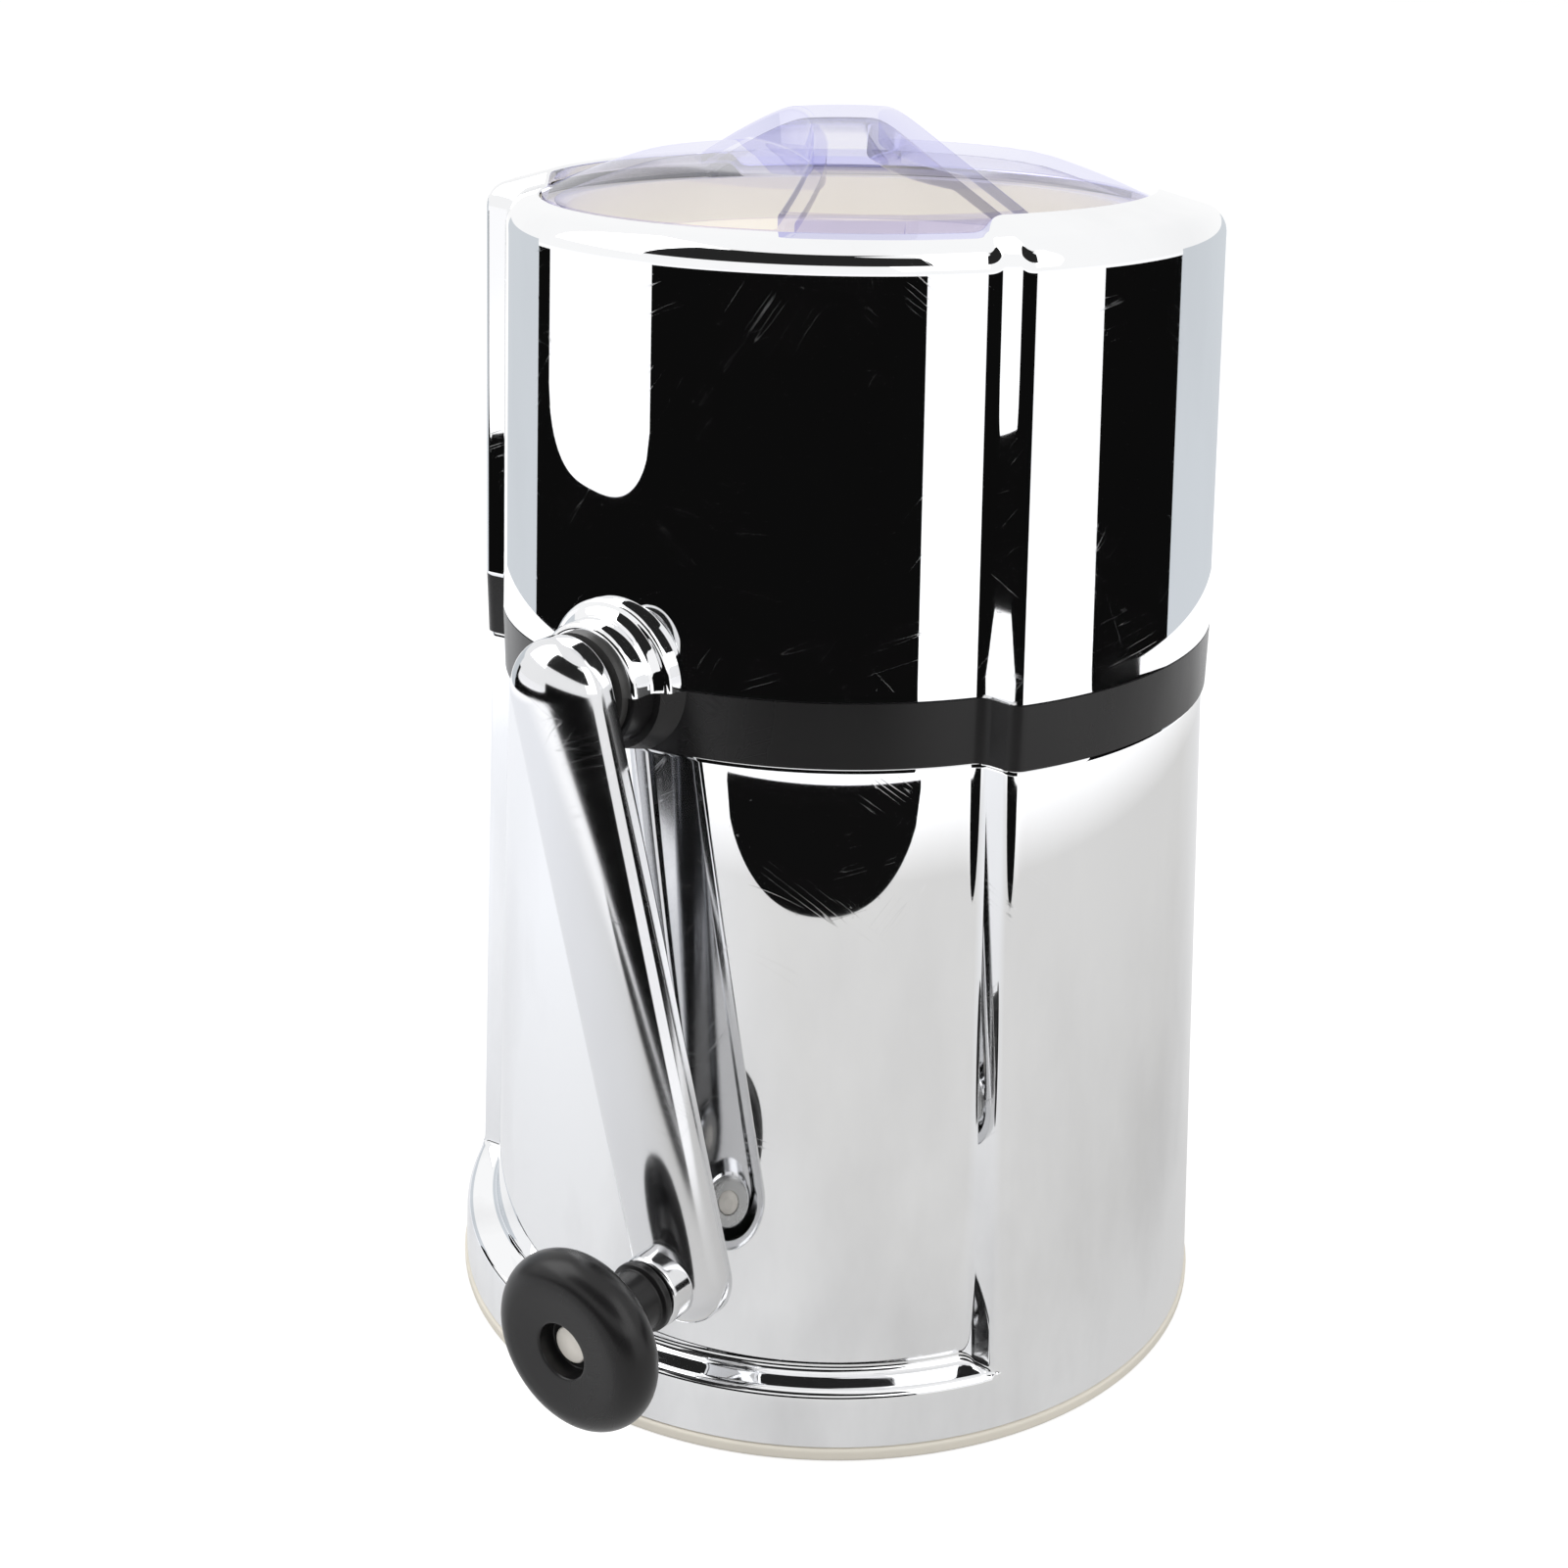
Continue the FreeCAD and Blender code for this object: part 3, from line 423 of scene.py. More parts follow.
@dataclass(frozen=True)
class ChromePlate:
    """Polished chrome with hairline scratches, wiping smears and faint dull patches."""

    name: str = "chrome_plate"
    colour: Colour = (0.93, 0.935, 0.945)
    dull: Colour = (0.66, 0.66, 0.67)
    polish: float = 0.012
    smudge: float = 0.09
    scratch_scale: float = 420.0
    scratch_cover: float = 0.32
    scratch_width: float = 0.009
    scratch_rough: float = 0.1
    scratch_bump: float = 0.03
    scratch_depth: float = 0.00001
    wipe_scale: float = 30.0
    wipe_stretch: Point = (1.0, 1.0, 0.4)
    wiped_height: float = 0.12
    wiped_above: float = 0.3
    dulling: float = 0.8
    speck_scale: float = 900.0
    speck_mark: float = 0.4

    def make(self) -> bpy.types.Material:
        """Build the material."""
        g = Graph.material(self.name)
        lines = g.scratches(self.scratch_scale, self.scratch_width, self.scratch_cover)
        wipe = g.noise(self.wipe_scale, 6.0, g.stretched(self.wipe_stretch))
        handled = g.ranged(g.height(), 0.0, self.wiped_height, 1.0, self.wiped_above)
        smear = g.maths("MULTIPLY", g.ranged(wipe, 0.46, 0.74, 0.0, 1.0), handled)
        specks = g.ranged(g.noise(self.speck_scale, 1.0), 0.73, 0.78, 0.0, self.speck_mark)
        marks = g.maths("MAXIMUM", lines, specks)
        rough = g.maths("ADD", g.maths("MULTIPLY", marks, self.scratch_rough),
                        g.maths("ADD", g.maths("MULTIPLY", smear, self.smudge), self.polish))
        tone = g.mix(g.maths("MULTIPLY", smear, self.dulling), self.colour, self.dull)
        shader = g.add("ShaderNodeBsdfPrincipled", {
            "Base Color": tone, "Metallic": 1.0, "Roughness": rough,
            "Normal": g.bump(marks, self.scratch_bump, self.scratch_depth)})
        return g.surface(shader)


@dataclass(frozen=True)
class Moulding:
    """A moulded plastic or rubber with a fine grain, soft handling marks and, when glow is above 0, a
    painted glow of its own colour.
    """

    name: str
    colour: Colour
    rough: float
    grain: float = 900.0
    grain_depth: float = 0.00002
    grain_bump: float = 0.35
    shade: float = 0.12
    shade_scale: float = 26.0
    marks: float = 0.08
    marks_scale: float = 60.0
    marks_stretch: Point = (1.0, 1.0, 0.3)
    scratch_scale: float = 500.0
    scratch_width: float = 0.012
    scratch_cover: float = 0.35
    scratch_rough: float = 0.1
    shine: float = 0.5
    # Emission strength of the moulding's own colour: painted light, a glow that no lamp gives; 0 for none.
    glow: float = 0.0

    def make(self) -> bpy.types.Material:
        """Build the material."""
        g = Graph.material(self.name)
        cloud = g.noise(self.shade_scale, 4.0)
        darker = tuple(part * (1.0 - self.shade) for part in self.colour)
        colour = g.mix(g.ranged(cloud, 0.35, 0.7, 0.0, 1.0), self.colour, darker)
        worn = g.noise(self.marks_scale, 5.0, g.stretched(self.marks_stretch))
        rub = g.ranged(worn, 0.45, 0.75, 0.0, self.marks)
        line = g.scratches(self.scratch_scale, self.scratch_width, self.scratch_cover)
        rough = g.maths("ADD", g.maths("ADD", rub, self.rough),
                        g.maths("MULTIPLY", line, self.scratch_rough))
        # Emission Color and Emission Strength paint light into the surface in its own colour whenever glow
        # is above 0.
        shader = g.add("ShaderNodeBsdfPrincipled", {
            "Base Color": colour, "Roughness": rough, "Specular IOR Level": self.shine,
            "Emission Color": colour, "Emission Strength": self.glow,
            "Normal": g.bump(g.noise(self.grain, 2.0), self.grain_bump, self.grain_depth)})
        return g.surface(shader)


@dataclass(frozen=True)
class TurnedSteel:
    """Bare steel with tool marks that run round or along the piece."""

    name: str
    colour: Colour = (0.60, 0.60, 0.59)
    rough: float = 0.24
    stretch: Point = (1.0, 0.04, 1.0)
    marks: float = 900.0
    metal: float = 1.0
    marks_bump: float = 0.2
    marks_depth: float = 0.00002
    stain_scale: float = 70.0
    stain: float = 0.14

    def make(self) -> bpy.types.Material:
        """Build the material."""
        g = Graph.material(self.name)
        lines = g.noise(self.marks, 3.0, g.stretched(self.stretch))
        stain = g.ranged(g.noise(self.stain_scale, 4.0), 0.4, 0.75, 0.0, self.stain)
        rough = g.maths("ADD", g.ranged(lines, 0.3, 0.7, self.rough - 0.06, self.rough + 0.1), stain)
        shader = g.add("ShaderNodeBsdfPrincipled", {
            "Base Color": (*self.colour, 1.0), "Metallic": self.metal, "Roughness": rough,
            "Normal": g.bump(lines, self.marks_bump, self.marks_depth)})
        return g.surface(shader)


@dataclass(frozen=True)
class ClearMoulding:
    """Clear plastic whose long light paths, at its edges, turn violet."""

    name: str = "clear_plastic"
    tint: Colour = (0.4, 0.4, 0.85)
    density: float = 5.0
    index: float = 1.46
    edge: Colour = (0.58, 0.57, 0.88)
    face: Colour = (0.99, 0.99, 0.995)
    sheen: Colour = (0.95, 0.95, 1.0)
    polish: float = 0.02
    haze: float = 0.04
    scratch_scale: float = 420.0
    scratch_width: float = 0.012
    scratch_cover: float = 0.4
    scratch_rough: float = 0.2
    wave_scale: float = 34.0
    wave_bump: float = 0.25
    wave_depth: float = 0.0004
    rim_blend: float = 0.35
    rim_power: float = 6.0
    steep_tint: float = 0.5
    skirt_top: float = 0.2139
    dome_foot: float = 0.2155
    outer_shine: float = 0.9

    def make(self) -> bpy.types.Material:
        """Build the material, which only reflects at its outer faces."""
        g = Graph.material(self.name)
        scuff = g.scratches(self.scratch_scale, self.scratch_width, self.scratch_cover)
        haze = g.ranged(g.noise(40.0, 4.0), 0.45, 0.75, 0.0, self.haze)
        rough = g.maths("ADD", g.maths("ADD", haze, self.polish),
                        g.maths("MULTIPLY", scuff, self.scratch_rough))
        wave = g.bump(g.noise(self.wave_scale, 1.0), self.wave_bump, self.wave_depth)
        weight = g.add("ShaderNodeLayerWeight", {"Blend": self.rim_blend, "Normal": wave})
        share = g.maths("POWER", weight.outputs["Facing"], self.rim_power)
        normal = g.add("ShaderNodeTexCoord").outputs["Normal"]
        lean = g.add("ShaderNodeSeparateXYZ", {0: normal}).outputs[2]
        steep = g.ranged(g.maths("ABSOLUTE", lean), 0.35, 0.86, self.steep_tint, 0.0)
        above = g.ranged(g.height(), self.skirt_top, self.dome_foot, 0.0, 1.0)
        share = g.maths("MAXIMUM", share, g.maths("MULTIPLY", steep, above))
        clear = g.add("ShaderNodeBsdfTransparent", {"Color": g.mix(share, self.face, self.edge)})
        shine = g.add("ShaderNodeBsdfGlossy", {
            "Color": (*self.sheen, 1.0), "Roughness": rough, "Normal": wave})
        back = g.add("ShaderNodeNewGeometry").outputs["Backfacing"]
        outside = g.maths("SUBTRACT", self.outer_shine, back)
        fresnel = g.add("ShaderNodeFresnel", {"IOR": self.index, "Normal": wave}).outputs[0]
        mirror = g.maths("MAXIMUM", g.maths("MULTIPLY", fresnel, outside), 0.0)
        mixed = g.add("ShaderNodeMixShader", {0: mirror, 1: clear.outputs[0], 2: shine.outputs[0]})
        body = g.add("ShaderNodeVolumeAbsorption", {"Color": (*self.tint, 1.0), "Density": self.density})
        return g.surface(mixed, body)


class Finishes:
    """Every finish of the crusher, made once."""

    def __init__(self) -> None:
        """Make the materials."""
        self.chrome = ChromePlate().make()
        self.arm_chrome = ChromePlate(
            "arm_chrome", (0.80, 0.805, 0.82), polish=0.07, smudge=0.12, scratch_scale=560.0,
            scratch_cover=0.5).make()
        self.black = Moulding(
            "satin_black", (0.011, 0.0105, 0.011), 0.27, shade=0.1, marks=0.1, shine=0.36).make()
        self.pad = Moulding("cream_pad", (0.86, 0.81, 0.71), 0.62, grain=1400.0, shade=0.06).make()
        # The cream parts (cup, hopper, base plate) glow at 0.34: painted light that brightens them in the
        # shade under the lid.
        self.cream = Moulding(
            "cream_liner_painted_glow", (0.86, 0.82, 0.73), 0.30, shade=0.04, marks=0.06, glow=0.34).make()
        self.bearing = Moulding("bearing_plastic", (0.045, 0.044, 0.043), 0.42).make()
        self.clear = ClearMoulding().make()
        self.steel = TurnedSteel("turned_steel").make()
        # The pin is made pale and only 0.3 metallic so that it shows as a bright dot in the knob's shaded
        # well: a painted highlight, lighter than the steel itself.
        self.pin = TurnedSteel(
            "pin_steel_painted_bright", (0.90, 0.86, 0.79), 0.42, (1.0, 1.0, 1.0), marks=500.0, metal=0.3).make()
        self.blades = TurnedSteel("stamped_steel", (0.57, 0.57, 0.57), 0.28, (0.06, 1.0, 1.0)).make()
        self.casting = TurnedSteel("zinc_casting", (0.55, 0.56, 0.57), 0.46, (1.0, 1.0, 1.0), 420.0).make()


def modifier_tree(name: str, inputs: dict[str, str]) -> tuple[bpy.types.NodeTree, list[str]]:
    """An empty geometry tree for a modifier, with one mesh in and one out.

    Args:
        name: Name of the tree.
        inputs: Kind of each further input by its name, such as Int.

    Returns:
        The tree and the identifier of each further input.
    """
    tree = bpy.data.node_groups.new(name, "GeometryNodeTree")
    tree.is_modifier = True
    face = tree.interface
    face.new_socket("Geometry", in_out="INPUT", socket_type="NodeSocketGeometry")
    keys = [face.new_socket(label, in_out="INPUT", socket_type="NodeSocket" + kind).identifier
            for label, kind in inputs.items()]
    face.new_socket("Geometry", in_out="OUTPUT", socket_type="NodeSocketGeometry")
    return tree, keys


class LatheTree:
    """Geometry nodes that turn an outline about an axis."""

    SEGMENTS = "Segments"
    MATERIAL = "Material"
    ROWS = "Rows"

    def __init__(self) -> None:
        """Build the tree."""
        self.tree, (self.rows, self.segments, self.paint) = modifier_tree("lathe", {
            self.ROWS: "Int", self.SEGMENTS: "Int", self.MATERIAL: "Material"})
        g = Graph(self.tree)
        entry = g.add("NodeGroupInput")
        steps = g.maths("ADD", entry.outputs[self.SEGMENTS], 1.0)
        sheet = g.add("GeometryNodeMeshGrid", {
            "Size X": 1.0, "Size Y": 1.0, "Vertices X": entry.outputs[self.ROWS], "Vertices Y": steps})
        index = g.add("GeometryNodeInputIndex").outputs[0]
        row = g.maths("FLOOR", g.maths("DIVIDE", g.maths("ADD", index, 0.5), steps))
        column = g.maths("SUBTRACT", index, g.maths("MULTIPLY", row, steps))
        where = g.add("GeometryNodeInputPosition").outputs[0]
        sample = g.add("GeometryNodeSampleIndex", {
            "Geometry": entry.outputs["Geometry"], "Value": where, "Index": row},
            data_type="FLOAT_VECTOR", domain="POINT")
        parts = g.add("ShaderNodeSeparateXYZ", {0: sample.outputs[0]})
        share = g.maths("DIVIDE", column, entry.outputs[self.SEGMENTS])
        turn = g.maths("MULTIPLY", share, math.tau)
        x = g.maths("MULTIPLY", parts.outputs[0], g.maths("COSINE", turn))
        y = g.maths("MULTIPLY", parts.outputs[0], g.maths("SINE", turn))
        spot = g.add("ShaderNodeCombineXYZ", {0: x, 1: y, 2: parts.outputs[2]})
        shaped = g.add("GeometryNodeSetPosition", {
            "Geometry": sheet.outputs["Mesh"], "Position": spot.outputs[0]})
        merged = g.add("GeometryNodeMergeByDistance", {
            "Geometry": shaped.outputs[0], "Distance": MERGE})
        g.finish(merged.outputs[0], entry.outputs[self.MATERIAL])

    def turn(
        self, outline_points: Sequence[Flat], segments: int, paint: bpy.types.Material
    ) -> bpy.types.Mesh:
        """Turn an outline into a mesh about the upright axis.

        Args:
            outline_points: Radius and height of each point, in millimetres.
            segments: Faces round the axis.
            paint: Material of the result.

        Returns:
            A plain mesh.
        """
        data = bpy.data.meshes.new("lathe_outline")
        data.from_pydata([(r * MM, 0.0, z * MM) for r, z in outline_points], [], [])
        seed = bpy.data.objects.new("lathe_outline", data)
        bpy.context.scene.collection.objects.link(seed)
        modifier = seed.modifiers.new("lathe", "NODES")
        modifier.node_group = self.tree
        modifier[self.rows] = len(outline_points)
        modifier[self.segments] = segments
        modifier[self.paint] = paint
        return baked(seed)


def baked(seed: bpy.types.Object) -> bpy.types.Mesh:
    """The evaluated mesh of an object, which is then removed with its modifiers."""
    graph = bpy.context.evaluated_depsgraph_get()
    result = bpy.data.meshes.new_from_object(seed.evaluated_get(graph))
    seed.modifiers.clear()
    bpy.data.objects.remove(seed)
    return result


@dataclass
class Workshop:
    """What every sub-assembly needs to make its pieces."""

    paints: Finishes
    lathe: LatheTree

    def turned(
        self, name: str, points: Sequence[Flat], paint: bpy.types.Material, axis: Axis = Axis.UP,
        place: Point = (0.0, 0.0, 0.0), segments: int = 128, sharp: float = 32.0
    ) -> bpy.types.Object:
        """A turned piece.

        Args:
            name: Name of the piece.
            points: Closed outline as radius and distance along the axis.
            paint: Its material.
            axis: Axis that it is turned about; distances run up or to the front.
            place: Point on the axis.
            segments: Faces round the axis.
            sharp: Angle in degrees above which an edge stays crisp.

        Returns:
            The piece.
        """
        data = self.lathe.turn(points, segments, paint)
        turn = Matrix.Rotation(math.pi / 2, 4, "X") if axis is Axis.FRONT else Matrix.Identity(4)
        data.transform(Matrix.Translation(Vector(place) * MM) @ turn)
        made = bmesh.new()
        made.from_mesh(data)
        cleaned(made, data)
        return placed(name, data, sharp)


@dataclass(frozen=True)
class Row:
    """One level of a fluted wall, by its place on a panel and on a wing."""

    panel_r: float
    panel_z: float
    wing_r: float
    wing_z: float


@dataclass(frozen=True)
class Fluting:
    """Plan of the two sunk panels and the two wings round the body."""

    depth: float = 6.4
    foot_deg: float = 58.9
    lip_deg: float = 61.5
    rounding: float = 3.0
    plan_radius: float = 67.0
    arc_steps: int = 9
    panel_steps: int = 44
    wing_steps: int = 26

    def quarter(self) -> list[Flat]:
        """Angle and share of the wing's height, from the front to the side."""
        width = math.radians(self.lip_deg - self.foot_deg) * self.plan_radius
        turn = math.atan2(self.depth, width)
        reach = self.rounding * math.tan(turn / 2)
        curve: list[Flat] = []
        for i in range(self.arc_steps + 1):
            a = turn * i / self.arc_steps
            curve.append((self.rounding * math.sin(a) - reach, self.rounding * (1 - math.cos(a))))
        for i in range(self.arc_steps + 1):
            a = turn * (1 - i / self.arc_steps)
            curve.append((width + reach - self.rounding * math.sin(a),
                          self.depth - self.rounding * (1 - math.cos(a))))
        step = [(self.foot_deg + math.degrees(d / self.plan_radius), h / self.depth) for d, h in curve]
        panel = [(step[0][0] * i / self.panel_steps, 0.0) for i in range(self.panel_steps)]
        wing = [(lerp(step[-1][0], 90.0, (i + 1) / self.wing_steps), 1.0) for i in range(self.wing_steps)]
        return panel + step + wing

    def stations(self) -> list[Flat]:
        """Angle and share of the wing's height, once round the body."""
        quarter = self.quarter()
        half = quarter + [(180.0 - a, s) for a, s in reversed(quarter[:-1])]
        return half[:-1] + [(180.0 + a, s) for a, s in half[:-1]]

    def rows(self, rows: Sequence[Row]) -> list[list[Point]]:
        """Points of a fluted wall, row by row."""
        result = []
        for row in rows:
            line = []
            for angle, share in self.stations():
                radius = lerp(row.panel_r, row.wing_r, share)
                turn = math.radians(angle)
                line.append((radius * math.sin(turn), -radius * math.cos(turn),
                             lerp(row.panel_z, row.wing_z, share)))
            result.append(line)
        return result


def paired(panel: Sequence[Flat], wing: Sequence[Flat]) -> list[Row]:
    """Rows from the outline on a panel and the outline on a wing."""
    return [Row(p[0], p[1], w[0], w[1]) for p, w in zip(panel, wing)]


@dataclass
class Bin:
    """The chromed bin with its cup, floor plate, screws and foot pad."""

    shop: Workshop
    fluting: Fluting = field(default_factory=Fluting)
    pad_h: float = 2.5
    pad_r: float = 76.4
    base_r: float = 76.0
    rim_r: float = 69.3
    rim_z: float = 130.2
    wall: float = 2.5
    ledge_z: float = 14.2
    ledge_round: float = 1.8
    shelf_outer: float = 61.7
    shelf_inner: float = 57.0
    shelf_low: float = 123.5
    shelf_high: float = 126.0
    cup_floor: float = 7.3
    cup_floor_top: float = 9.3
    cup_foot_r: float = 50.0
    cup_top_r: float = 56.2
    cup_flange_r: float = 59.2
    cup_flange_top: float = 128.0
    cup_mouth_r: float = 54.2
    cup_inner_foot_r: float = 48.0
    grip_rings: tuple[float, ...] = (20.0, 36.0, 52.0, 68.0)
    grip_width: float = 2.0
    grip_depth: float = 0.8
    flat_r: float = 72.0

    def radius(self, z: float) -> float:
        """Radius of the wings at a height."""
        return lerp(self.base_r, self.rim_r, (z - self.pad_h) / (self.rim_z - self.pad_h))

    def level(self, z: float, inset: float = 0.0, flush: bool = False) -> Row:
        """A row at one height, with or without the sunk panels."""
        wing = self.radius(z) - inset
        return Row(wing if flush else wing - self.fluting.depth, z, wing, z)

    def ledge(self) -> list[Row]:
        """Rows that lead from the full skirt over the ledge to the panels."""
        outer = self.radius(self.ledge_z)
        inner = outer - self.fluting.depth
        r = self.ledge_round
        panel = arc((outer - r, self.ledge_z - r), r, 0, 90, 8)
        panel += arc((inner + r, self.ledge_z + r), r, 270, 180, 8)
        heights = spaced(self.ledge_z - r, self.ledge_z + r, len(panel))
        return paired(panel, [(self.radius(z), z) for z in heights])

    def shell(self) -> None:
        """Chromed shell with its ledges, wall thickness and cup shelf."""
        low, high, w = self.ledge_z - self.ledge_round, self.ledge_z + self.ledge_round, self.wall
        rows = [self.level(self.pad_h, 0.4, True), self.level(self.pad_h + 0.4, 0.0, True)]
        rows += [self.level(z, 0.0, True) for z in spaced(self.pad_h + 0.9, low - 0.6, 6)]
        rows += self.ledge()
        rows += [self.level(z) for z in spaced(high + 1.0, self.rim_z - 1.0, 24)]
        rows += [self.level(self.rim_z - 0.5), self.level(self.rim_z - 0.15, 0.1),
                 self.level(self.rim_z, 0.4)]
        rows += [self.level(z, w) for z in spaced(self.rim_z, self.ledge_z - w, 12)]
        rows += [self.level(z, w, True) for z in spaced(self.ledge_z - w, self.pad_h, 3)]
        form = Form().grid(self.fluting.rows(rows), loop=True)
        shelf = [(self.shelf_inner, self.shelf_low), (self.shelf_outer, self.shelf_low),
                 (self.shelf_outer, self.shelf_high), (self.shelf_inner, self.shelf_high)]
        form.grid(ring_rows(shelf, 96), loop=True)
        settle(form.done("bin_shell_chromed", 40.0), Body.BIN, self.shop.paints.chrome,
               ["bin_shell"])

    def pad(self) -> None:
        """Soft foot pad with a rolled edge and grip rings underneath."""
        points = [Corner(0.0, 0.0), Corner(self.grip_rings[0] - 0.5, 0.0)]
        for inner in self.grip_rings:
            outer = inner + self.grip_width
            points += [Corner(inner, 0.0, 0.15), Corner(inner, self.grip_depth, 0.3),
                       Corner(outer, self.grip_depth, 0.3), Corner(outer, 0.0, 0.15)]
        points += [Corner(self.pad_r, 0.0, 0.7), Corner(self.pad_r, self.pad_h, 0.5),
                   Corner(self.flat_r, self.pad_h), Corner(0.0, self.pad_h)]
        piece = self.shop.turned("foot_pad", outline(points, 4), self.shop.paints.pad, segments=192)
        settle(piece, Body.BIN, self.shop.paints.pad, ["base_pad"])

    def cup(self) -> None:
        """Ice cup with a rounded floor and a rolled flange."""
        points = outline([
            Corner(0.0, self.cup_floor), Corner(self.cup_foot_r, self.cup_floor, 3.0),
            Corner(self.cup_top_r, self.shelf_high, 0.6, 10),
            Corner(self.cup_flange_r, self.shelf_high, 0.5),
            Corner(self.cup_flange_r, self.cup_flange_top, 0.8),
            Corner(self.cup_mouth_r, self.cup_flange_top, 1.0),
            Corner(self.cup_inner_foot_r, self.cup_floor_top, 4.0, 10),
            Corner(0.0, self.cup_floor_top)], 5)
        piece = self.shop.turned("ice_cup_liner", points, self.shop.paints.cream, segments=160)
        settle(piece, Body.BIN, self.shop.paints.cream, ["ice_cup"])

    def build(self) -> None:
        """Make the whole bin."""
        self.shell()
        self.pad()
        self.cup()
        dress("base_plate", self.shop.paints.cream)


def ring_rows(points: Sequence[Flat], segments: int) -> list[list[Point]]:
    """Rows of a ring turned about the upright axis, one row for each outline point."""
    turns = [math.tau * i / segments for i in range(segments)]
    return [[(r * math.sin(t), -r * math.cos(t), z) for t in turns] for r, z in points]


@dataclass
class Head:
    """The crusher head: chromed shell, hopper and the working parts inside."""

    shop: Workshop
    fluting: Fluting = field(default_factory=Fluting)
    low_z: float = 141.7
    low_r: float = 70.0
    draft: float = 0.0384
    edge_z: float = 216.4
    wing_rise: float = 2.6
    opening_r: float = 54.6
    shoulder_deg: float = 15.4
    shoulder_round: float = 5.0
    wall: float = 2.5
    boss_r: float = 10.9
    boss_end: float = 70.9
    boss_start: float = 58.0
    boss_foot_r: float = 13.6
    boss_foot_end: float = 64.9
    boss_step_r: float = 12.4
    boss_step_end: float = 65.2
    boss_neck: float = 66.4
    bush_r: float = 7.02
    throat_x: float = 27.0
    throat_y: float = 32.0
    throat_z: float = 171.7
    neck_z: float = 199.9
    mouth_r: float = 52.6
    mouth_z: float = 213.8
    hopper_wall: float = 2.2
    flange_low: float = 211.4
    flange_r: float = 57.0
    squareness: int = 12
    hopper_turns: int = 144

    def corner(self, radius: float, edge: float) -> Flat:
        """Where the wall of this foot radius meets the shoulder that rises to an edge."""
        slope = math.tan(math.radians(self.shoulder_deg))
        reach = edge + self.opening_r * slope - self.low_z
        corner_r = (radius - self.draft * reach) / (1 - self.draft * slope)
        return corner_r, edge - (corner_r - self.opening_r) * slope

    def path(self, radius: float, edge: float) -> list[Flat]:
        """Outline of the shell's wall, out and up and back down inside."""
        outer, inner = self.corner(radius, edge), self.corner(radius - self.wall, edge - self.wall)
        return outline([
            Corner(radius - 0.3, self.low_z), Corner(radius, self.low_z + 0.3),
            Corner(radius - self.draft * 0.8, self.low_z + 0.8), Corner(*outer, self.shoulder_round, 22),
            Corner(self.opening_r, edge, 0.5, 3), Corner(self.opening_r, edge - self.wall, 0.3),
            Corner(*inner, self.shoulder_round / 2, 3),
            Corner(radius - self.wall, self.low_z, 0.0, 8)], 8)

    def shell(self) -> None:
        """Chromed head shell with the upper half of the bearing boss."""
        panel = self.path(self.low_r - self.fluting.depth, self.edge_z)
        wing = self.path(self.low_r, self.edge_z + self.wing_rise)
        form = Form().grid(self.fluting.rows(paired(panel, wing)), loop=True)
        boss = outline([
            Corner(self.boss_foot_r, self.boss_start), Corner(self.boss_foot_r, self.boss_foot_end, 0.7),
            Corner(self.boss_step_r, self.boss_step_end, 0.3), Corner(self.boss_r, self.boss_neck, 1.2),
            Corner(self.boss_r, self.boss_end, 0.9), Corner(self.bush_r, self.boss_end),
            Corner(self.bush_r, self.boss_start)], 6)
        form.grid(self.half_turn(boss), ring=False, loop=True)
        for end in (0, -1):
            form.cap([row[end] for row in self.half_turn(boss)])
        settle(form.done("head_shell_chromed", 40.0), Body.HEAD, self.shop.paints.chrome,
               ["upper_shell"])

    def half_turn(self, points: Sequence[Flat]) -> list[list[Point]]:
        """Rows of the boss's upper half, turned about the crank's axis."""
        turns = spaced(0.0, math.pi, 49)
        return [[(r * math.cos(t), -reach, self.low_z + 0.06 + r * math.sin(t)) for t in turns]
                for r, reach in points]

    def hopper(self) -> None:
        """Cream hopper that narrows from the round mouth to the square throat."""
        outer = self.funnel(self.hopper_wall)
        inner = self.funnel(0.0)
        flange = ring_rows([(54.3, self.flange_low), (self.flange_r, self.flange_low),
                            (self.flange_r, self.mouth_z - 1.0), (self.flange_r - 2.0, self.mouth_z)],
                           self.hopper_turns)
        rows = outer + flange + list(reversed(inner))
        form = Form().grid(rows, loop=True)
        settle(form.done("hopper_liner", 50.0), Body.HEAD, self.shop.paints.cream, ["hopper"])

    def funnel(self, grow: float) -> list[list[Point]]:
        """Rows of the funnel from its throat up to its mouth."""
        half_x, half_y, mouth_r = self.throat_x + grow, self.throat_y + grow, self.mouth_r + grow
        power = self.squareness
        rows = []
        for share in spaced(0.0, 1.0, 15):
            blend = share ** 0.85
            row = []
            for i in range(self.hopper_turns):
                t = math.tau * i / self.hopper_turns
                c, s = math.sin(t), -math.cos(t)
                square = (abs(c / half_x) ** power + abs(s / half_y) ** power) ** (-1 / power)
                radius = lerp(square, mouth_r, blend)
                row.append((radius * c, radius * s, lerp(self.throat_z, self.neck_z, share)))
            rows.append(row)
        top = self.flange_low if grow else self.mouth_z
        rows += ring_rows([(mouth_r, z) for z in spaced(self.neck_z + 2.0, top, 5)], self.hopper_turns)
        return rows

    def works(self) -> None:
        """Finish of the working parts that keep their own shape."""
        paints = self.shop.paints
        dress("collar", paints.black)
        dress("crusher_frame", paints.casting)
        for node in ("comb_left", "comb_right"):
            dress(node, paints.blades)
        for node in ("front_bush", "rear_bush"):
            dress(node, paints.bearing)

    def build(self) -> None:
        """Make the whole head."""
        self.shell()
        self.hopper()
        self.works()


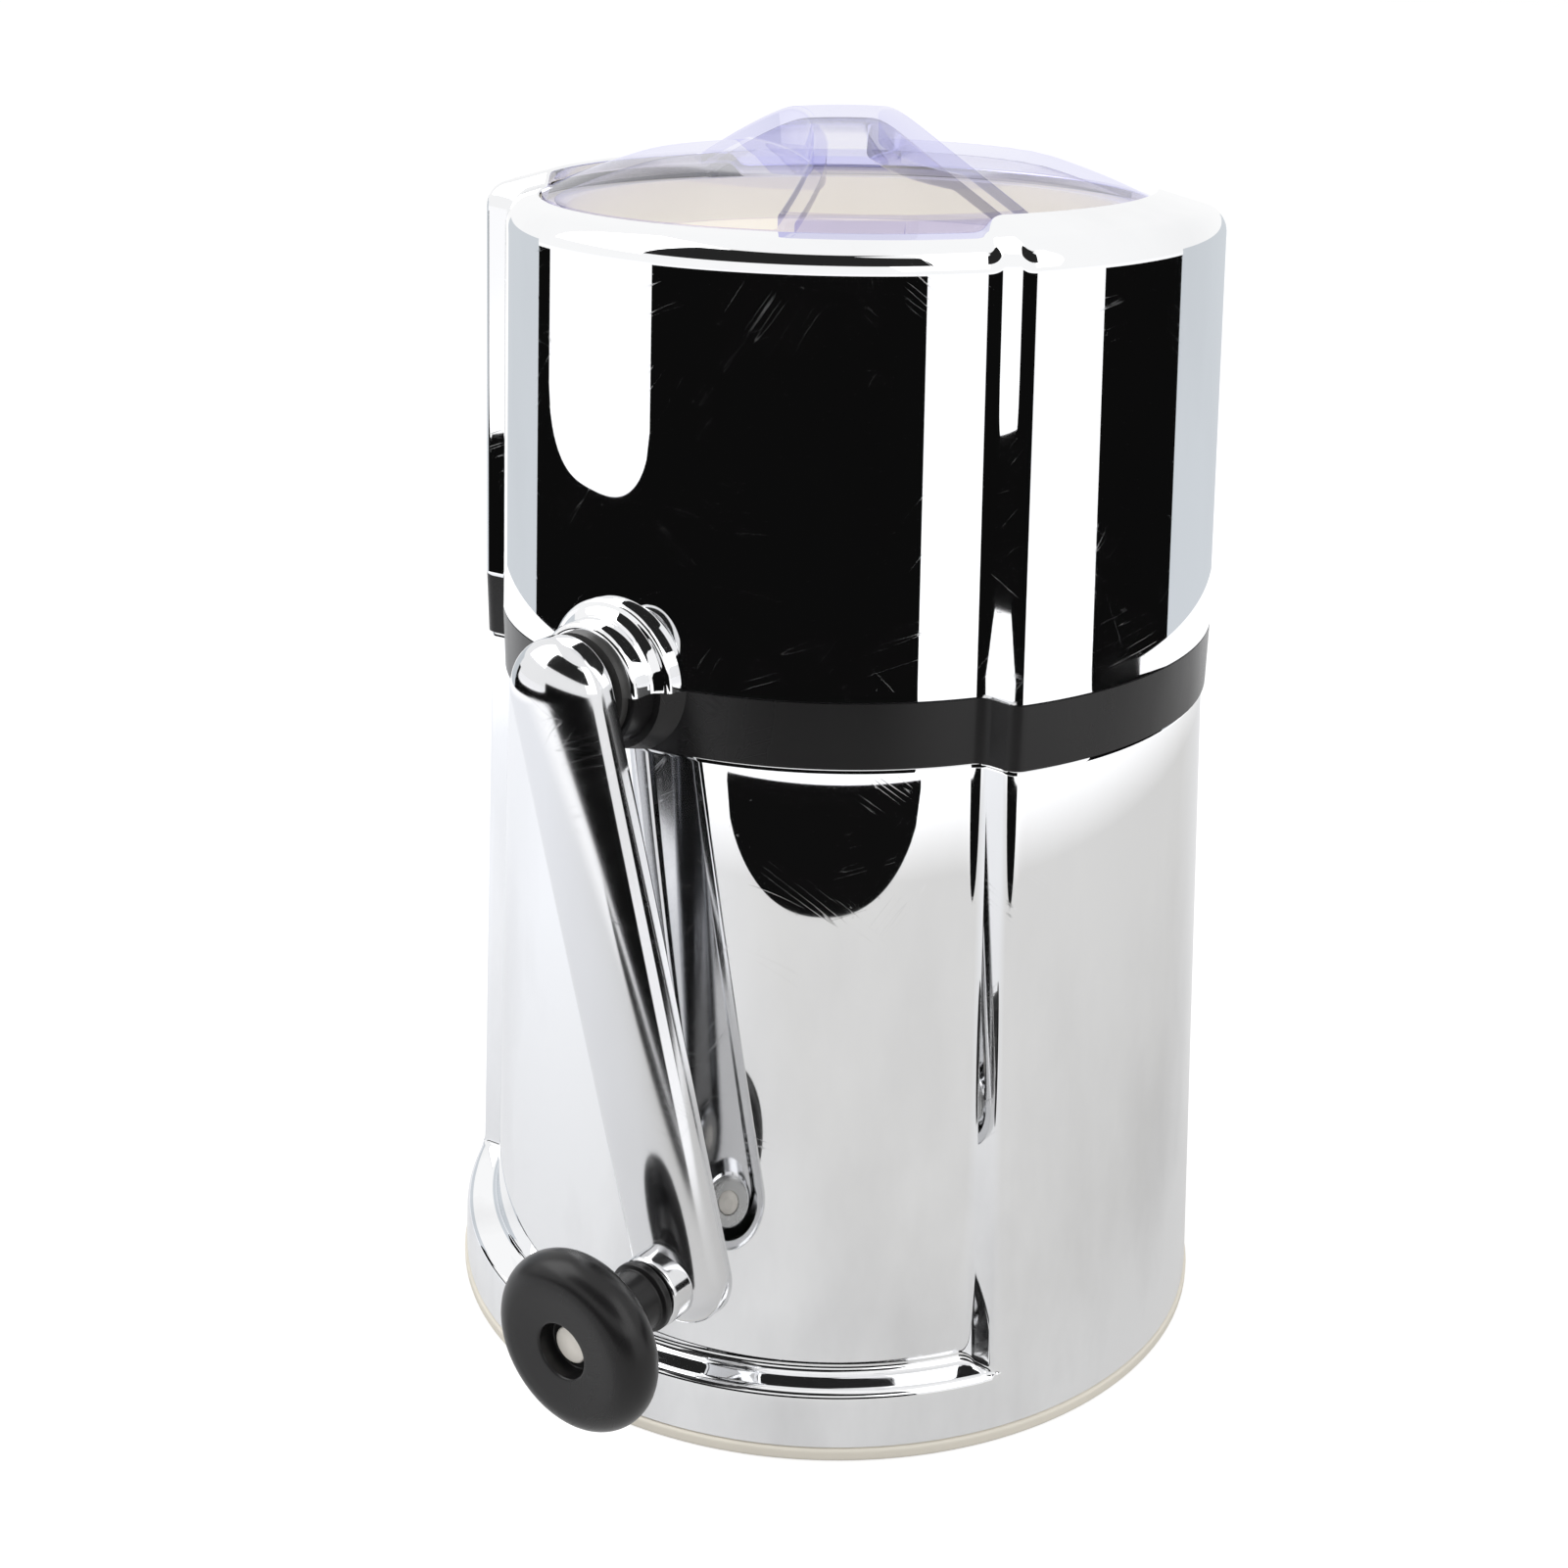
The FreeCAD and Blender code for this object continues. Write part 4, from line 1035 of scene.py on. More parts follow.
@dataclass
class Lid:
    """The clear lid: a dome with a raised band, two finger wells and a skirt."""

    shop: Workshop
    radius: float = 54.3
    edge_z: float = 216.4
    crown: float = 11.7
    wall: float = 2.2
    band_rise: float = 2.6
    band_crown: float = 12.2
    waist: float = 8.7
    flare: float = 11.1
    flare_reach: float = 49.5
    flare_power: float = 2.7
    band_deg: float = 46.8
    well_r: float = 37.0
    lip: float = 0.9
    seat_z: float = 213.9
    skirt_r: float = 52.3
    skirt_wall: float = 2.0
    skirt_low: float = 205.9

    def dome(self, r: float, crown: float, base: float) -> float:
        """Height of a spherical cap at a radius."""
        ball = (self.radius ** 2 + crown ** 2) / (2 * crown)
        return base + crown - ball + math.sqrt(max(ball ** 2 - r ** 2, 0.0))

    def half_band(self, along: float) -> float:
        """Half width of the raised band at a distance from its middle."""
        return self.waist + self.flare * (abs(along) / self.flare_reach) ** self.flare_power

    def field(self, x: float, along: float) -> float:
        """Height of the dome and its wells beside the band."""
        dome = self.dome(math.hypot(x, along), self.crown, self.edge_z)
        floor = self.dome(self.well_r, self.crown, self.edge_z)
        soft = 0.12
        gap = (dome - floor) / soft
        return floor - soft * math.log1p(math.exp(-gap)) if gap > -30 else dome

    def across(self, along: float, inset: float) -> list[Flat]:
        """One cross-section of the lid's upper face, from side to side.

        Args:
            along: Distance along the band.
            inset: How far the face is set in for the underside.

        Returns:
            Offset to the side and height of each point.
        """
        rim = math.sqrt(max((self.radius - inset) ** 2 - along ** 2, 0.0))
        edge = min(self.half_band(along) - inset, rim)
        outside = rim - edge
        top = [(x, self.dome(math.hypot(x, along), self.band_crown, self.edge_z + self.band_rise) - inset)
               for x in spaced(0.0, max(edge - self.lip, 0.0), 9)]
        high = self.dome(math.hypot(edge, along), self.band_crown, self.edge_z + self.band_rise) - inset
        low = self.field(edge, along) - inset
        span = min(self.lip, (high - low) / 2, edge)
        bend = [(edge - span + span * math.sin(a), high - span + span * math.cos(a))
                for a in spaced(0.0, math.pi / 2, 6)]
        foot = min(0.5, span, outside)
        turn = [(edge + foot - foot * math.cos(a), low + foot - foot * math.sin(a))
                for a in spaced(0.0, math.pi / 2, 5)]
        wing = [(x, self.field(x, along) - inset) for x in spaced(edge + foot, rim, 26)[1:]]
        side = top + bend + turn + wing
        return [(-x, z) for x, z in reversed(side[1:])] + side

    def skin(self, inset: float) -> list[list[Point]]:
        """Rows of cross-sections from one end of the band to the other."""
        reach = self.radius - inset
        rows = []
        for t in spaced(-math.pi / 2, math.pi / 2, 121):
            along = reach * math.sin(t) * 0.99999
            rows.append([(x, along, z) for x, z in self.across(along, inset)])
        return rows

    def rim(self, rows: Sequence[Sequence[Point]]) -> list[Point]:
        """The outer boundary of a skin, once round."""
        right = [row[-1] for row in rows]
        left = [row[0] for row in reversed(rows)]
        return list(rows[0]) + right[1:] + list(reversed(rows[-1]))[1:] + left[1:-1]

    def build(self) -> None:
        """Make the lid."""
        upper = self.skin(0.0)
        lower = self.skin(self.wall)
        edge = self.rim(upper)
        drop = [(x, y, self.seat_z + 0.02) for x, y, _ in edge]
        skirt_out = [self.pulled(p, self.skirt_r, self.seat_z + 0.02) for p in edge]
        skirt_low = [self.pulled(p, self.skirt_r, self.skirt_low) for p in edge]
        inner_low = [self.pulled(p, self.skirt_r - self.skirt_wall, self.skirt_low) for p in edge]
        inner_top = [self.pulled(p, self.skirt_r - self.skirt_wall, self.seat_z) for p in edge]
        form = Form().grid(upper, ring=False).grid(lower, ring=False)
        form.grid([edge, drop, skirt_out, skirt_low, inner_low, inner_top, self.rim(lower)])
        form.move(Matrix.Rotation(math.radians(self.band_deg), 4, "Z"))
        settle(form.done("clear_lid", 28.0), Body.LID, self.shop.paints.clear, ["lid"])

    def pulled(self, point: Point, radius: float, z: float) -> Point:
        """A rim point moved to another radius and height."""
        share = radius / math.hypot(point[0], point[1])
        return point[0] * share, point[1] * share, z


@dataclass
class Crank:
    """The crank arm with its pin, washers, shaft and rotor."""

    shop: Workshop
    axis_z: float = 141.7
    length: float = 104.0
    hang_deg: float = 14.2
    hub_r: float = 9.9
    end_r: float = 9.6
    back: float = 74.2
    side: float = 3.1
    crown: float = 5.5
    skin: float = 2.2
    channel: float = 5.0
    nose_r: float = 6.5
    nose_end: float = 86.1
    pad_r: float = 6.4
    end_pad_r: float = 5.8
    bore: float = 2.62
    rivet_back: float = 74.62
    pin_end: float = 104.2
    pin_head_r: float = 3.35
    washer_r: float = 5.0
    washer_back: float = 75.02
    washer_front: float = 75.8

    def stations(self) -> list[tuple[Flat, Flat]]:
        """Outline points of the arm, hanging straight down, each with the nearest spine point."""
        lean = math.asin((self.hub_r - self.end_r) / self.length)
        result = []
        for a in spaced(-lean, math.pi + lean, 49):
            result.append(((self.hub_r * math.cos(a), self.hub_r * math.sin(a)), (0.0, 0.0)))
        left = result[-1][0]
        end = [((self.end_r * math.cos(a), self.end_r * math.sin(a) - self.length), (0.0, -self.length))
               for a in spaced(math.pi + lean, math.tau - lean, 43)]
        runs = 40
        for i in range(1, runs):
            share = i / runs
            result.append(((lerp(left[0], end[0][0][0], share), lerp(left[1], end[0][0][1], share)),
                           (0.0, -self.length * share)))
        result += end
        first = result[0][0]
        for i in range(1, runs):
            share = i / runs
            result.append(((lerp(end[-1][0][0], first[0], share), lerp(end[-1][0][1], first[1], share)),
                           (0.0, -self.length * (1 - share))))
        return result

    def level(self, inset: float, keep: float, reach: float) -> list[Point]:
        """A loop round the arm.

        Args:
            inset: How far the loop is set in from the outline.
            keep: Share of the way from the spine to that loop.
            reach: Distance in front of the body's axis.

        Returns:
            The loop's points.
        """
        row = []
        for (x, z), (sx, sz) in self.stations():
            span = math.hypot(x - sx, z - sz)
            share = (span - inset) / span * keep
            row.append((sx + (x - sx) * share, -reach, self.axis_z + sz + (z - sz) * share))
        return row

    def turned_about(self) -> Matrix:
        """Swing from hanging straight down to the rest position."""
        pivot = Vector((0.0, 0.0, self.axis_z)) * MM
        swing = Matrix.Rotation(math.radians(-self.hang_deg), 4, "Y")
        return Matrix.Translation(pivot) @ swing @ Matrix.Translation(-pivot)

    def arm(self) -> None:
        """Chromed arm: domed in front, hollow behind, with its pads and nose."""
        crest = self.back + self.side
        rows = [self.level(0.5, 1.0, self.back), self.level(0.15, 1.0, self.back + 0.15),
                self.level(0.0, 1.0, self.back + 0.5), self.level(0.0, 1.0, crest - 0.6)]
        for a in spaced(0.0, math.pi / 2, 21):
            rows.append(self.level(0.0, math.cos(a), crest + self.crown * math.sin(a)))
        hollow = self.back + self.channel
        back = [self.level(self.skin, 1.0, self.back), self.level(self.skin + 0.25, 1.0, hollow - 0.6),
                self.level(self.skin + 0.8, 1.0, hollow), self.level(self.skin + 0.8, 0.0, hollow)]
        form = Form().grid(list(reversed(back)) + rows)
        end = self.axis_z - self.length
        self.stud(form, self.axis_z, [
            (0.0, self.back + 0.01), (self.pad_r - 0.3, self.back + 0.01), (self.pad_r, self.back + 0.3),
            (self.pad_r, hollow + 0.2), (0.0, hollow + 0.2)])
        self.stud(form, end, [(self.bore, self.back + 1.6), (self.end_pad_r - 0.4, self.back + 1.6),
                              (self.end_pad_r, self.back + 2.0), (self.end_pad_r, hollow + 0.2),
                              (self.bore, hollow + 0.2)])
        nose = outline([Corner(self.bore, hollow + 0.6), Corner(self.nose_r, hollow + 0.6),
                        Corner(self.nose_r, self.nose_end, 0.8, 4), Corner(self.bore, self.nose_end)], 5)
        self.stud(form, end, nose)
        form.move(self.turned_about())
        settle(form.done("crank_arm_chromed", 38.0), Body.CRANK, self.shop.paints.arm_chrome,
               ["crank_arm"])

    def stud(self, form: Form, z: float, points: Sequence[Flat]) -> None:
        """Add a closed turned part on the arm at a height."""
        turns = [math.tau * i / 64 for i in range(64)]
        rows = [[(r * math.cos(t), -reach, z + r * math.sin(t)) for t in turns] for r, reach in points]
        form.grid(rows, loop=points[0][0] > 0.0)

    def pin_place(self) -> Point:
        """Middle of the knob's pin, on the plane of the body's axis."""
        hang = math.radians(self.hang_deg)
        return self.length * math.sin(hang), 0.0, self.axis_z - self.length * math.cos(hang)

    def pin(self) -> None:
        """Riveted pin with a domed head in the knob's well."""
        points = outline([
            Corner(0.0, self.rivet_back), Corner(1.1, self.rivet_back, 0.3), Corner(2.55, 75.2, 0.3),
            Corner(2.58, self.pin_end), Corner(self.pin_head_r, self.pin_end + 0.05, 0.1),
            Corner(self.pin_head_r, self.pin_end + 1.0, 0.35),
            Corner(0.0, self.pin_end + 1.25, 0.0, 3)], 4)
        piece = self.shop.turned("knob_pin_riveted", points, self.shop.paints.pin, Axis.FRONT,
                                 self.pin_place(), 64)
        settle(piece, Body.CRANK, self.shop.paints.pin, ["knob_pin"])

    def washer(self) -> None:
        """Washer under the riveted end of the pin."""
        points = outline([
            Corner(self.bore, self.washer_back), Corner(self.washer_r, self.washer_back, 0.15),
            Corner(self.washer_r, self.washer_front, 0.15), Corner(self.bore, self.washer_front),
            Corner(self.bore, self.washer_back)], 3)
        piece = self.shop.turned("pin_washer_flat", points, self.shop.paints.steel, Axis.FRONT,
                                 self.pin_place(), 64)
        settle(piece, Body.CRANK, self.shop.paints.steel, ["pin_washer"])

    def build(self) -> None:
        """Make the crank."""
        self.arm()
        self.pin()
        self.washer()
        paints = self.shop.paints
        for node in ("crank_shaft", "rotor_spacers", "retaining_ring"):
            dress(node, paints.steel)
        dress("rotor_blades", paints.blades)
        dress("thrust_washer", paints.bearing)


@dataclass
class Knob:
    """The turning knob: a thick round-edged disc on a flared neck."""

    shop: Workshop
    place: Point
    radius: float = 16.2
    back: float = 86.6
    disc_back: float = 98.6
    front: float = 107.9
    bore: float = 2.66
    well_r: float = 5.0
    well_depth: float = 3.7
    collar_r: float = 6.4
    neck_r: float = 5.5
    flare_r: float = 7.6

    def build(self) -> None:
        """Make the knob."""
        half = (self.front - self.disc_back) / 2
        rim = arc((self.radius - half, self.disc_back + half), half, -62, 90, 20)
        rim_r = self.radius - half
        ridge = [(rim_r + 0.2, self.disc_back), (rim_r + 1.1, self.disc_back + 0.02),
                 (rim_r + 1.5, self.disc_back + 0.35)]
        neck = outline([
            Corner(self.bore, self.back), Corner(self.collar_r, self.back, 0.4),
            Corner(self.collar_r, self.back + 1.4, 0.4), Corner(self.neck_r, self.back + 1.8, 0.3),
            Corner(self.neck_r - 0.1, self.disc_back - 3.6, 2.0, 2),
            Corner(self.flare_r, self.disc_back - 0.5, 0.8, 2),
            Corner(self.flare_r + 0.8, self.disc_back)], 6)
        face = outline([
            Corner(self.radius - half, self.front), Corner(self.well_r, self.front - 0.35, 0.5, 3),
            Corner(self.well_r - 0.2, self.front - self.well_depth, 0.3),
            Corner(self.bore, self.front - self.well_depth), Corner(self.bore, self.back)], 6)
        points = neck + ridge + rim + face[1:]
        piece = self.shop.turned(
            "knob_satin", points, self.shop.paints.black, Axis.FRONT, self.place, 128, 34.0)
        settle(piece, Body.KNOB, self.shop.paints.black, ["knob"])


@dataclass(frozen=True)
class Card:
    """A studio card that only the polished pieces see, standing or lying round the crusher."""

    name: str
    start_deg: float
    end_deg: float
    radius: float
    low: float
    high: float
    level: float
    cool: float = 0.0

    def build(self) -> None:
        """Stand the card up."""
        turns = [math.radians(a) for a in spaced(self.start_deg, self.end_deg, 25)]
        rows = [[(self.radius * math.sin(t), -self.radius * math.cos(t), z) for t in turns]
                for z in (self.low, self.high)]
        hang(Form().grid(rows, ring=False), self.name, self.level, self.cool)


def swept(start: float, end: float, edges: Callable[[float], Sequence[Flat]]) -> Form:
    """A sheet round the crusher between two curved edges.

    Args:
        start: Its first angle in degrees, seen from above.
        end: Its last angle.
        edges: Radius and height of both edges at a share from -1 to 1 of the way.

    Returns:
        The sheet.
    """
    rows: list[list[Point]] = [[], []]
    for share in spaced(-1.0, 1.0, 41):
        turn = math.radians(lerp(start, end, (share + 1.0) / 2))
        for row, (radius, z) in zip(rows, edges(share)):
            row.append((radius * math.sin(turn), -radius * math.cos(turn), z))
    return Form().grid(rows, ring=False)


def hang(form: Form, name: str, level: float, cool: float = 0.0) -> None:
    """Finish a card so that only reflections show it.

    Args:
        form: Its shape.
        name: Its name.
        level: How light it is.
        cool: How much its red is held back.
    """
    piece = form.done(name)
    g = Graph.material(name)
    glow = g.add("ShaderNodeEmission", {"Color": (level * (1 - cool), level * (1 - cool / 2), level, 1.0)})
    piece.data.materials.append(g.surface(glow))
    for ray in ("camera", "diffuse", "transmission", "volume_scatter", "shadow"):
        setattr(piece, "visible_" + ray, False)


@dataclass
class Studio:
    """Camera, floor, light and the cards that give the chrome its bands."""

    distance: float = 403.17
    height: float = 260.36
    azimuth_deg: float = 36.3
    pitch: float = 0.3728
    yaw: float = -0.0246
    roll: float = 0.0128
    focal_px: float = 2234.72
    frame_px: float = 1601.0
    sensor_mm: float = 36.0
    diffuse_sky: float = 0.72
    floor_half: float = 9000.0
    floor_paper: Colour = (0.5, 0.5, 0.5)
    floor_seen: float = 0.66
    floor_left: Colour = (0.45, 0.465, 0.50)
    floor_right: Colour = (0.22, 0.215, 0.205)
    floor_far: Colour = (0.72, 0.72, 0.73)
    near_reach: float = 0.40
    far_reach: float = 0.49
    aim_z: float = 110.0
    cards: tuple[Card, ...] = (
        Card("card_left_edge", -79.0, -71.5, 580.0, 0.0, 165.0, 0.004),
        Card("card_front", -25.0, 61.0, 580.0, 0.0, 178.0, 0.004),
        Card("card_right", 112.5, 147.0, 580.0, 0.0, 172.0, 0.004),
        Card("card_right_pale", 147.0, 192.0, 580.0, 0.0, 240.0, 0.72, 0.10),
        Card("card_left_pale", -112.0, -79.0, 580.0, 0.0, 240.0, 0.72, 0.10),
        Card("card_back", 205.0, 240.0, 580.0, 0.0, 170.0, 0.01),
        Card("card_front_high", -32.0, 64.0, 700.0, 440.0, 1250.0, 0.02),
    )

    def camera(self) -> None:
        """Put the camera where the photograph was taken from."""
        ahead = Vector((
            math.sin(self.yaw) * math.cos(self.pitch), math.cos(self.yaw) * math.cos(self.pitch),
            -math.sin(self.pitch)))
        level = Vector((math.cos(self.yaw), -math.sin(self.yaw), 0.0))
        above = level.cross(ahead)
        right = level * math.cos(self.roll) + above * math.sin(self.roll)
        up = above * math.cos(self.roll) - level * math.sin(self.roll)
        turn = Matrix((right, up, -ahead)).transposed().to_4x4()
        spot = Matrix.Translation(Vector((0.0, -self.distance, self.height)) * MM)
        data = bpy.data.cameras.new("camera")
        data.sensor_width = self.sensor_mm
        data.lens = self.focal_px / self.frame_px * self.sensor_mm
        data.clip_start, data.clip_end = 0.02, 50.0
        camera = bpy.data.objects.new("camera", data)
        camera.matrix_world = Matrix.Rotation(math.radians(self.azimuth_deg), 4, "Z") @ spot @ turn
        bpy.context.scene.collection.objects.link(camera)
        bpy.context.scene.camera = camera

    def world(self) -> None:
        """White surroundings for the eye, the metal and the clear lid, and an even light for the rest."""
        world = bpy.data.worlds.new("studio")
        bpy.context.scene.world = world
        world.use_nodes = True
        g = Graph(world.node_tree)
        path = g.add("ShaderNodeLightPath")
        seen = g.maths("MAXIMUM", path.outputs["Is Camera Ray"], g.mirrored(path))
        level = g.ranged(seen, 0.0, 1.0, self.diffuse_sky, 1.0)
        sky = g.add("ShaderNodeBackground", {"Color": (1.0, 1.0, 1.0, 1.0), "Strength": level})
        g.add("ShaderNodeOutputWorld", {"Surface": sky.outputs[0]})

    def floor(self) -> None:
        """Pale floor: white to the eye, softly shaded in reflections, and it keeps the object's shadow."""
        half = self.floor_half
        rows = [[(-half, y, 0.0), (half, y, 0.0)] for y in (-half, half)]
        floor = Form().grid(rows, ring=False).done("floor")
        g = Graph.material("floor_paper")
        path = g.add("ShaderNodeLightPath")
        spot = g.add("ShaderNodeSeparateXYZ", {0: g.place()})
        side = g.ranged(spot.outputs[0], -0.25, 0.12, 0.0, 1.0)
        near = g.mix(side, self.floor_left, self.floor_right)
        reach = g.add("ShaderNodeVectorMath", {0: g.place()}, operation="LENGTH").outputs["Value"]
        far = g.ranged(reach, self.near_reach, self.far_reach, 0.0, 1.0)
        tone = g.mix(far, near, self.floor_far)
        paper = g.add("ShaderNodeBsdfDiffuse", {"Color": (*self.floor_paper, 1.0)})
        bright = g.add("ShaderNodeEmission", {"Color": (1.0, 1.0, 1.0, 1.0), "Strength": self.floor_seen})
        soft = g.add("ShaderNodeEmission", {"Color": tone, "Strength": 1.0})
        none = g.add("ShaderNodeEmission", {"Strength": 0.0})
        first = g.add("ShaderNodeMixShader", {0: g.mirrored(path), 1: none.outputs[0], 2: soft.outputs[0]})
        lift = g.add("ShaderNodeMixShader", {
            0: path.outputs["Is Camera Ray"], 1: first.outputs[0], 2: bright.outputs[0]})
        both = g.add("ShaderNodeAddShader", {0: paper.outputs[0], 1: lift.outputs[0]})
        floor.data.materials.append(g.surface(both))

    def lamp(self, name: str, place: Point, size: float, watts: float) -> None:
        """A soft square lamp that points at the middle of the crusher."""
        data = bpy.data.lights.new(name, "AREA")
        data.shape = "SQUARE"
        data.size = size
        data.energy = watts
        lamp = bpy.data.objects.new(name, data)
        spot = Vector(place) * MM
        aim = Vector((0.0, 0.0, self.aim_z)) * MM - spot
        lamp.matrix_world = Matrix.Translation(spot) @ aim.to_track_quat("-Z", "Y").to_matrix().to_4x4()
        lamp.visible_camera = False
        bpy.context.scene.collection.objects.link(lamp)

    def near_card(self) -> None:
        """The low rounded dark card that lies in front of the bin."""
        far, near, side, lift, squareness = 524.0, 366.0, 512.0, 0.6, 2.4

        def edges(share: float) -> Sequence[Flat]:
            """Its rounded near edge and its far edge."""
            inner = side - (side - near) * math.sqrt(1.0 - abs(share) ** squareness)
            return (inner, lift), (far, lift)

        hang(swept(3.0, 63.0, edges), "card_near", 0.005)

    def window_card(self) -> None:
        """The dark card under the bright window on the left, with the window's rounded sill."""
        radius, sill, rise, squareness = 580.0, 71.0, 34.0, 3

        def edges(share: float) -> Sequence[Flat]:
            """Its foot and the sill, which rises at both ends."""
            top = sill + rise * (1.0 - math.sqrt(1.0 - abs(share) ** squareness))
            return (radius, 0.0), (radius, top)

        hang(swept(-71.6, -24.9, edges), "card_left_low", 0.004)

    def build(self) -> None:
        """Set up the studio."""
        bpy.context.scene.view_settings.view_transform = "Standard"
        self.camera()
        self.world()
        self.floor()
        self.lamp("key", (-700.0, -500.0, 900.0), 0.9, 5.0)
        self.lamp("fill", (800.0, -200.0, 700.0), 0.9, 2.5)
        for card in self.cards:
            card.build()
        self.near_card()
        self.window_card()


class ScrewTree:
    """Geometry nodes that set a screw on each seat, head outwards."""

    SCREW = "Screw"
    MATERIAL = "Material"
    SEED = "Seed"

    def __init__(self) -> None:
        """Build the tree."""
        self.tree, (self.screw, self.paint, self.seed) = modifier_tree("screws_on_seats", {
            self.SCREW: "Object", self.MATERIAL: "Material", self.SEED: "Int"})
        g = Graph(self.tree)
        entry = g.add("NodeGroupInput")
        points = g.add("GeometryNodeMeshToPoints", {"Mesh": entry.outputs["Geometry"]})
        screw = g.add("GeometryNodeObjectInfo", {"Object": entry.outputs[self.SCREW]})
        heading = g.add("GeometryNodeInputNamedAttribute", {"Name": "heading"}, data_type="FLOAT_VECTOR")
        aim = g.add("FunctionNodeAlignRotationToVector", {"Vector": heading.outputs[0]}, axis="Z")
        spin = g.add("FunctionNodeRandomValue", {
            "Min": (0.0, 0.0, 0.0), "Max": (0.0, 0.0, math.tau), "Seed": entry.outputs[self.SEED]},
            data_type="FLOAT_VECTOR")
        placed_screws = g.add("GeometryNodeInstanceOnPoints", {
            "Points": points.outputs[0], "Instance": screw.outputs["Geometry"],
            "Rotation": aim.outputs[0]})
        turned = g.add("GeometryNodeRotateInstances", {
            "Instances": placed_screws.outputs[0], "Rotation": spin.outputs[0], "Local Space": True})
        g.finish(turned.outputs[0], entry.outputs[self.MATERIAL])


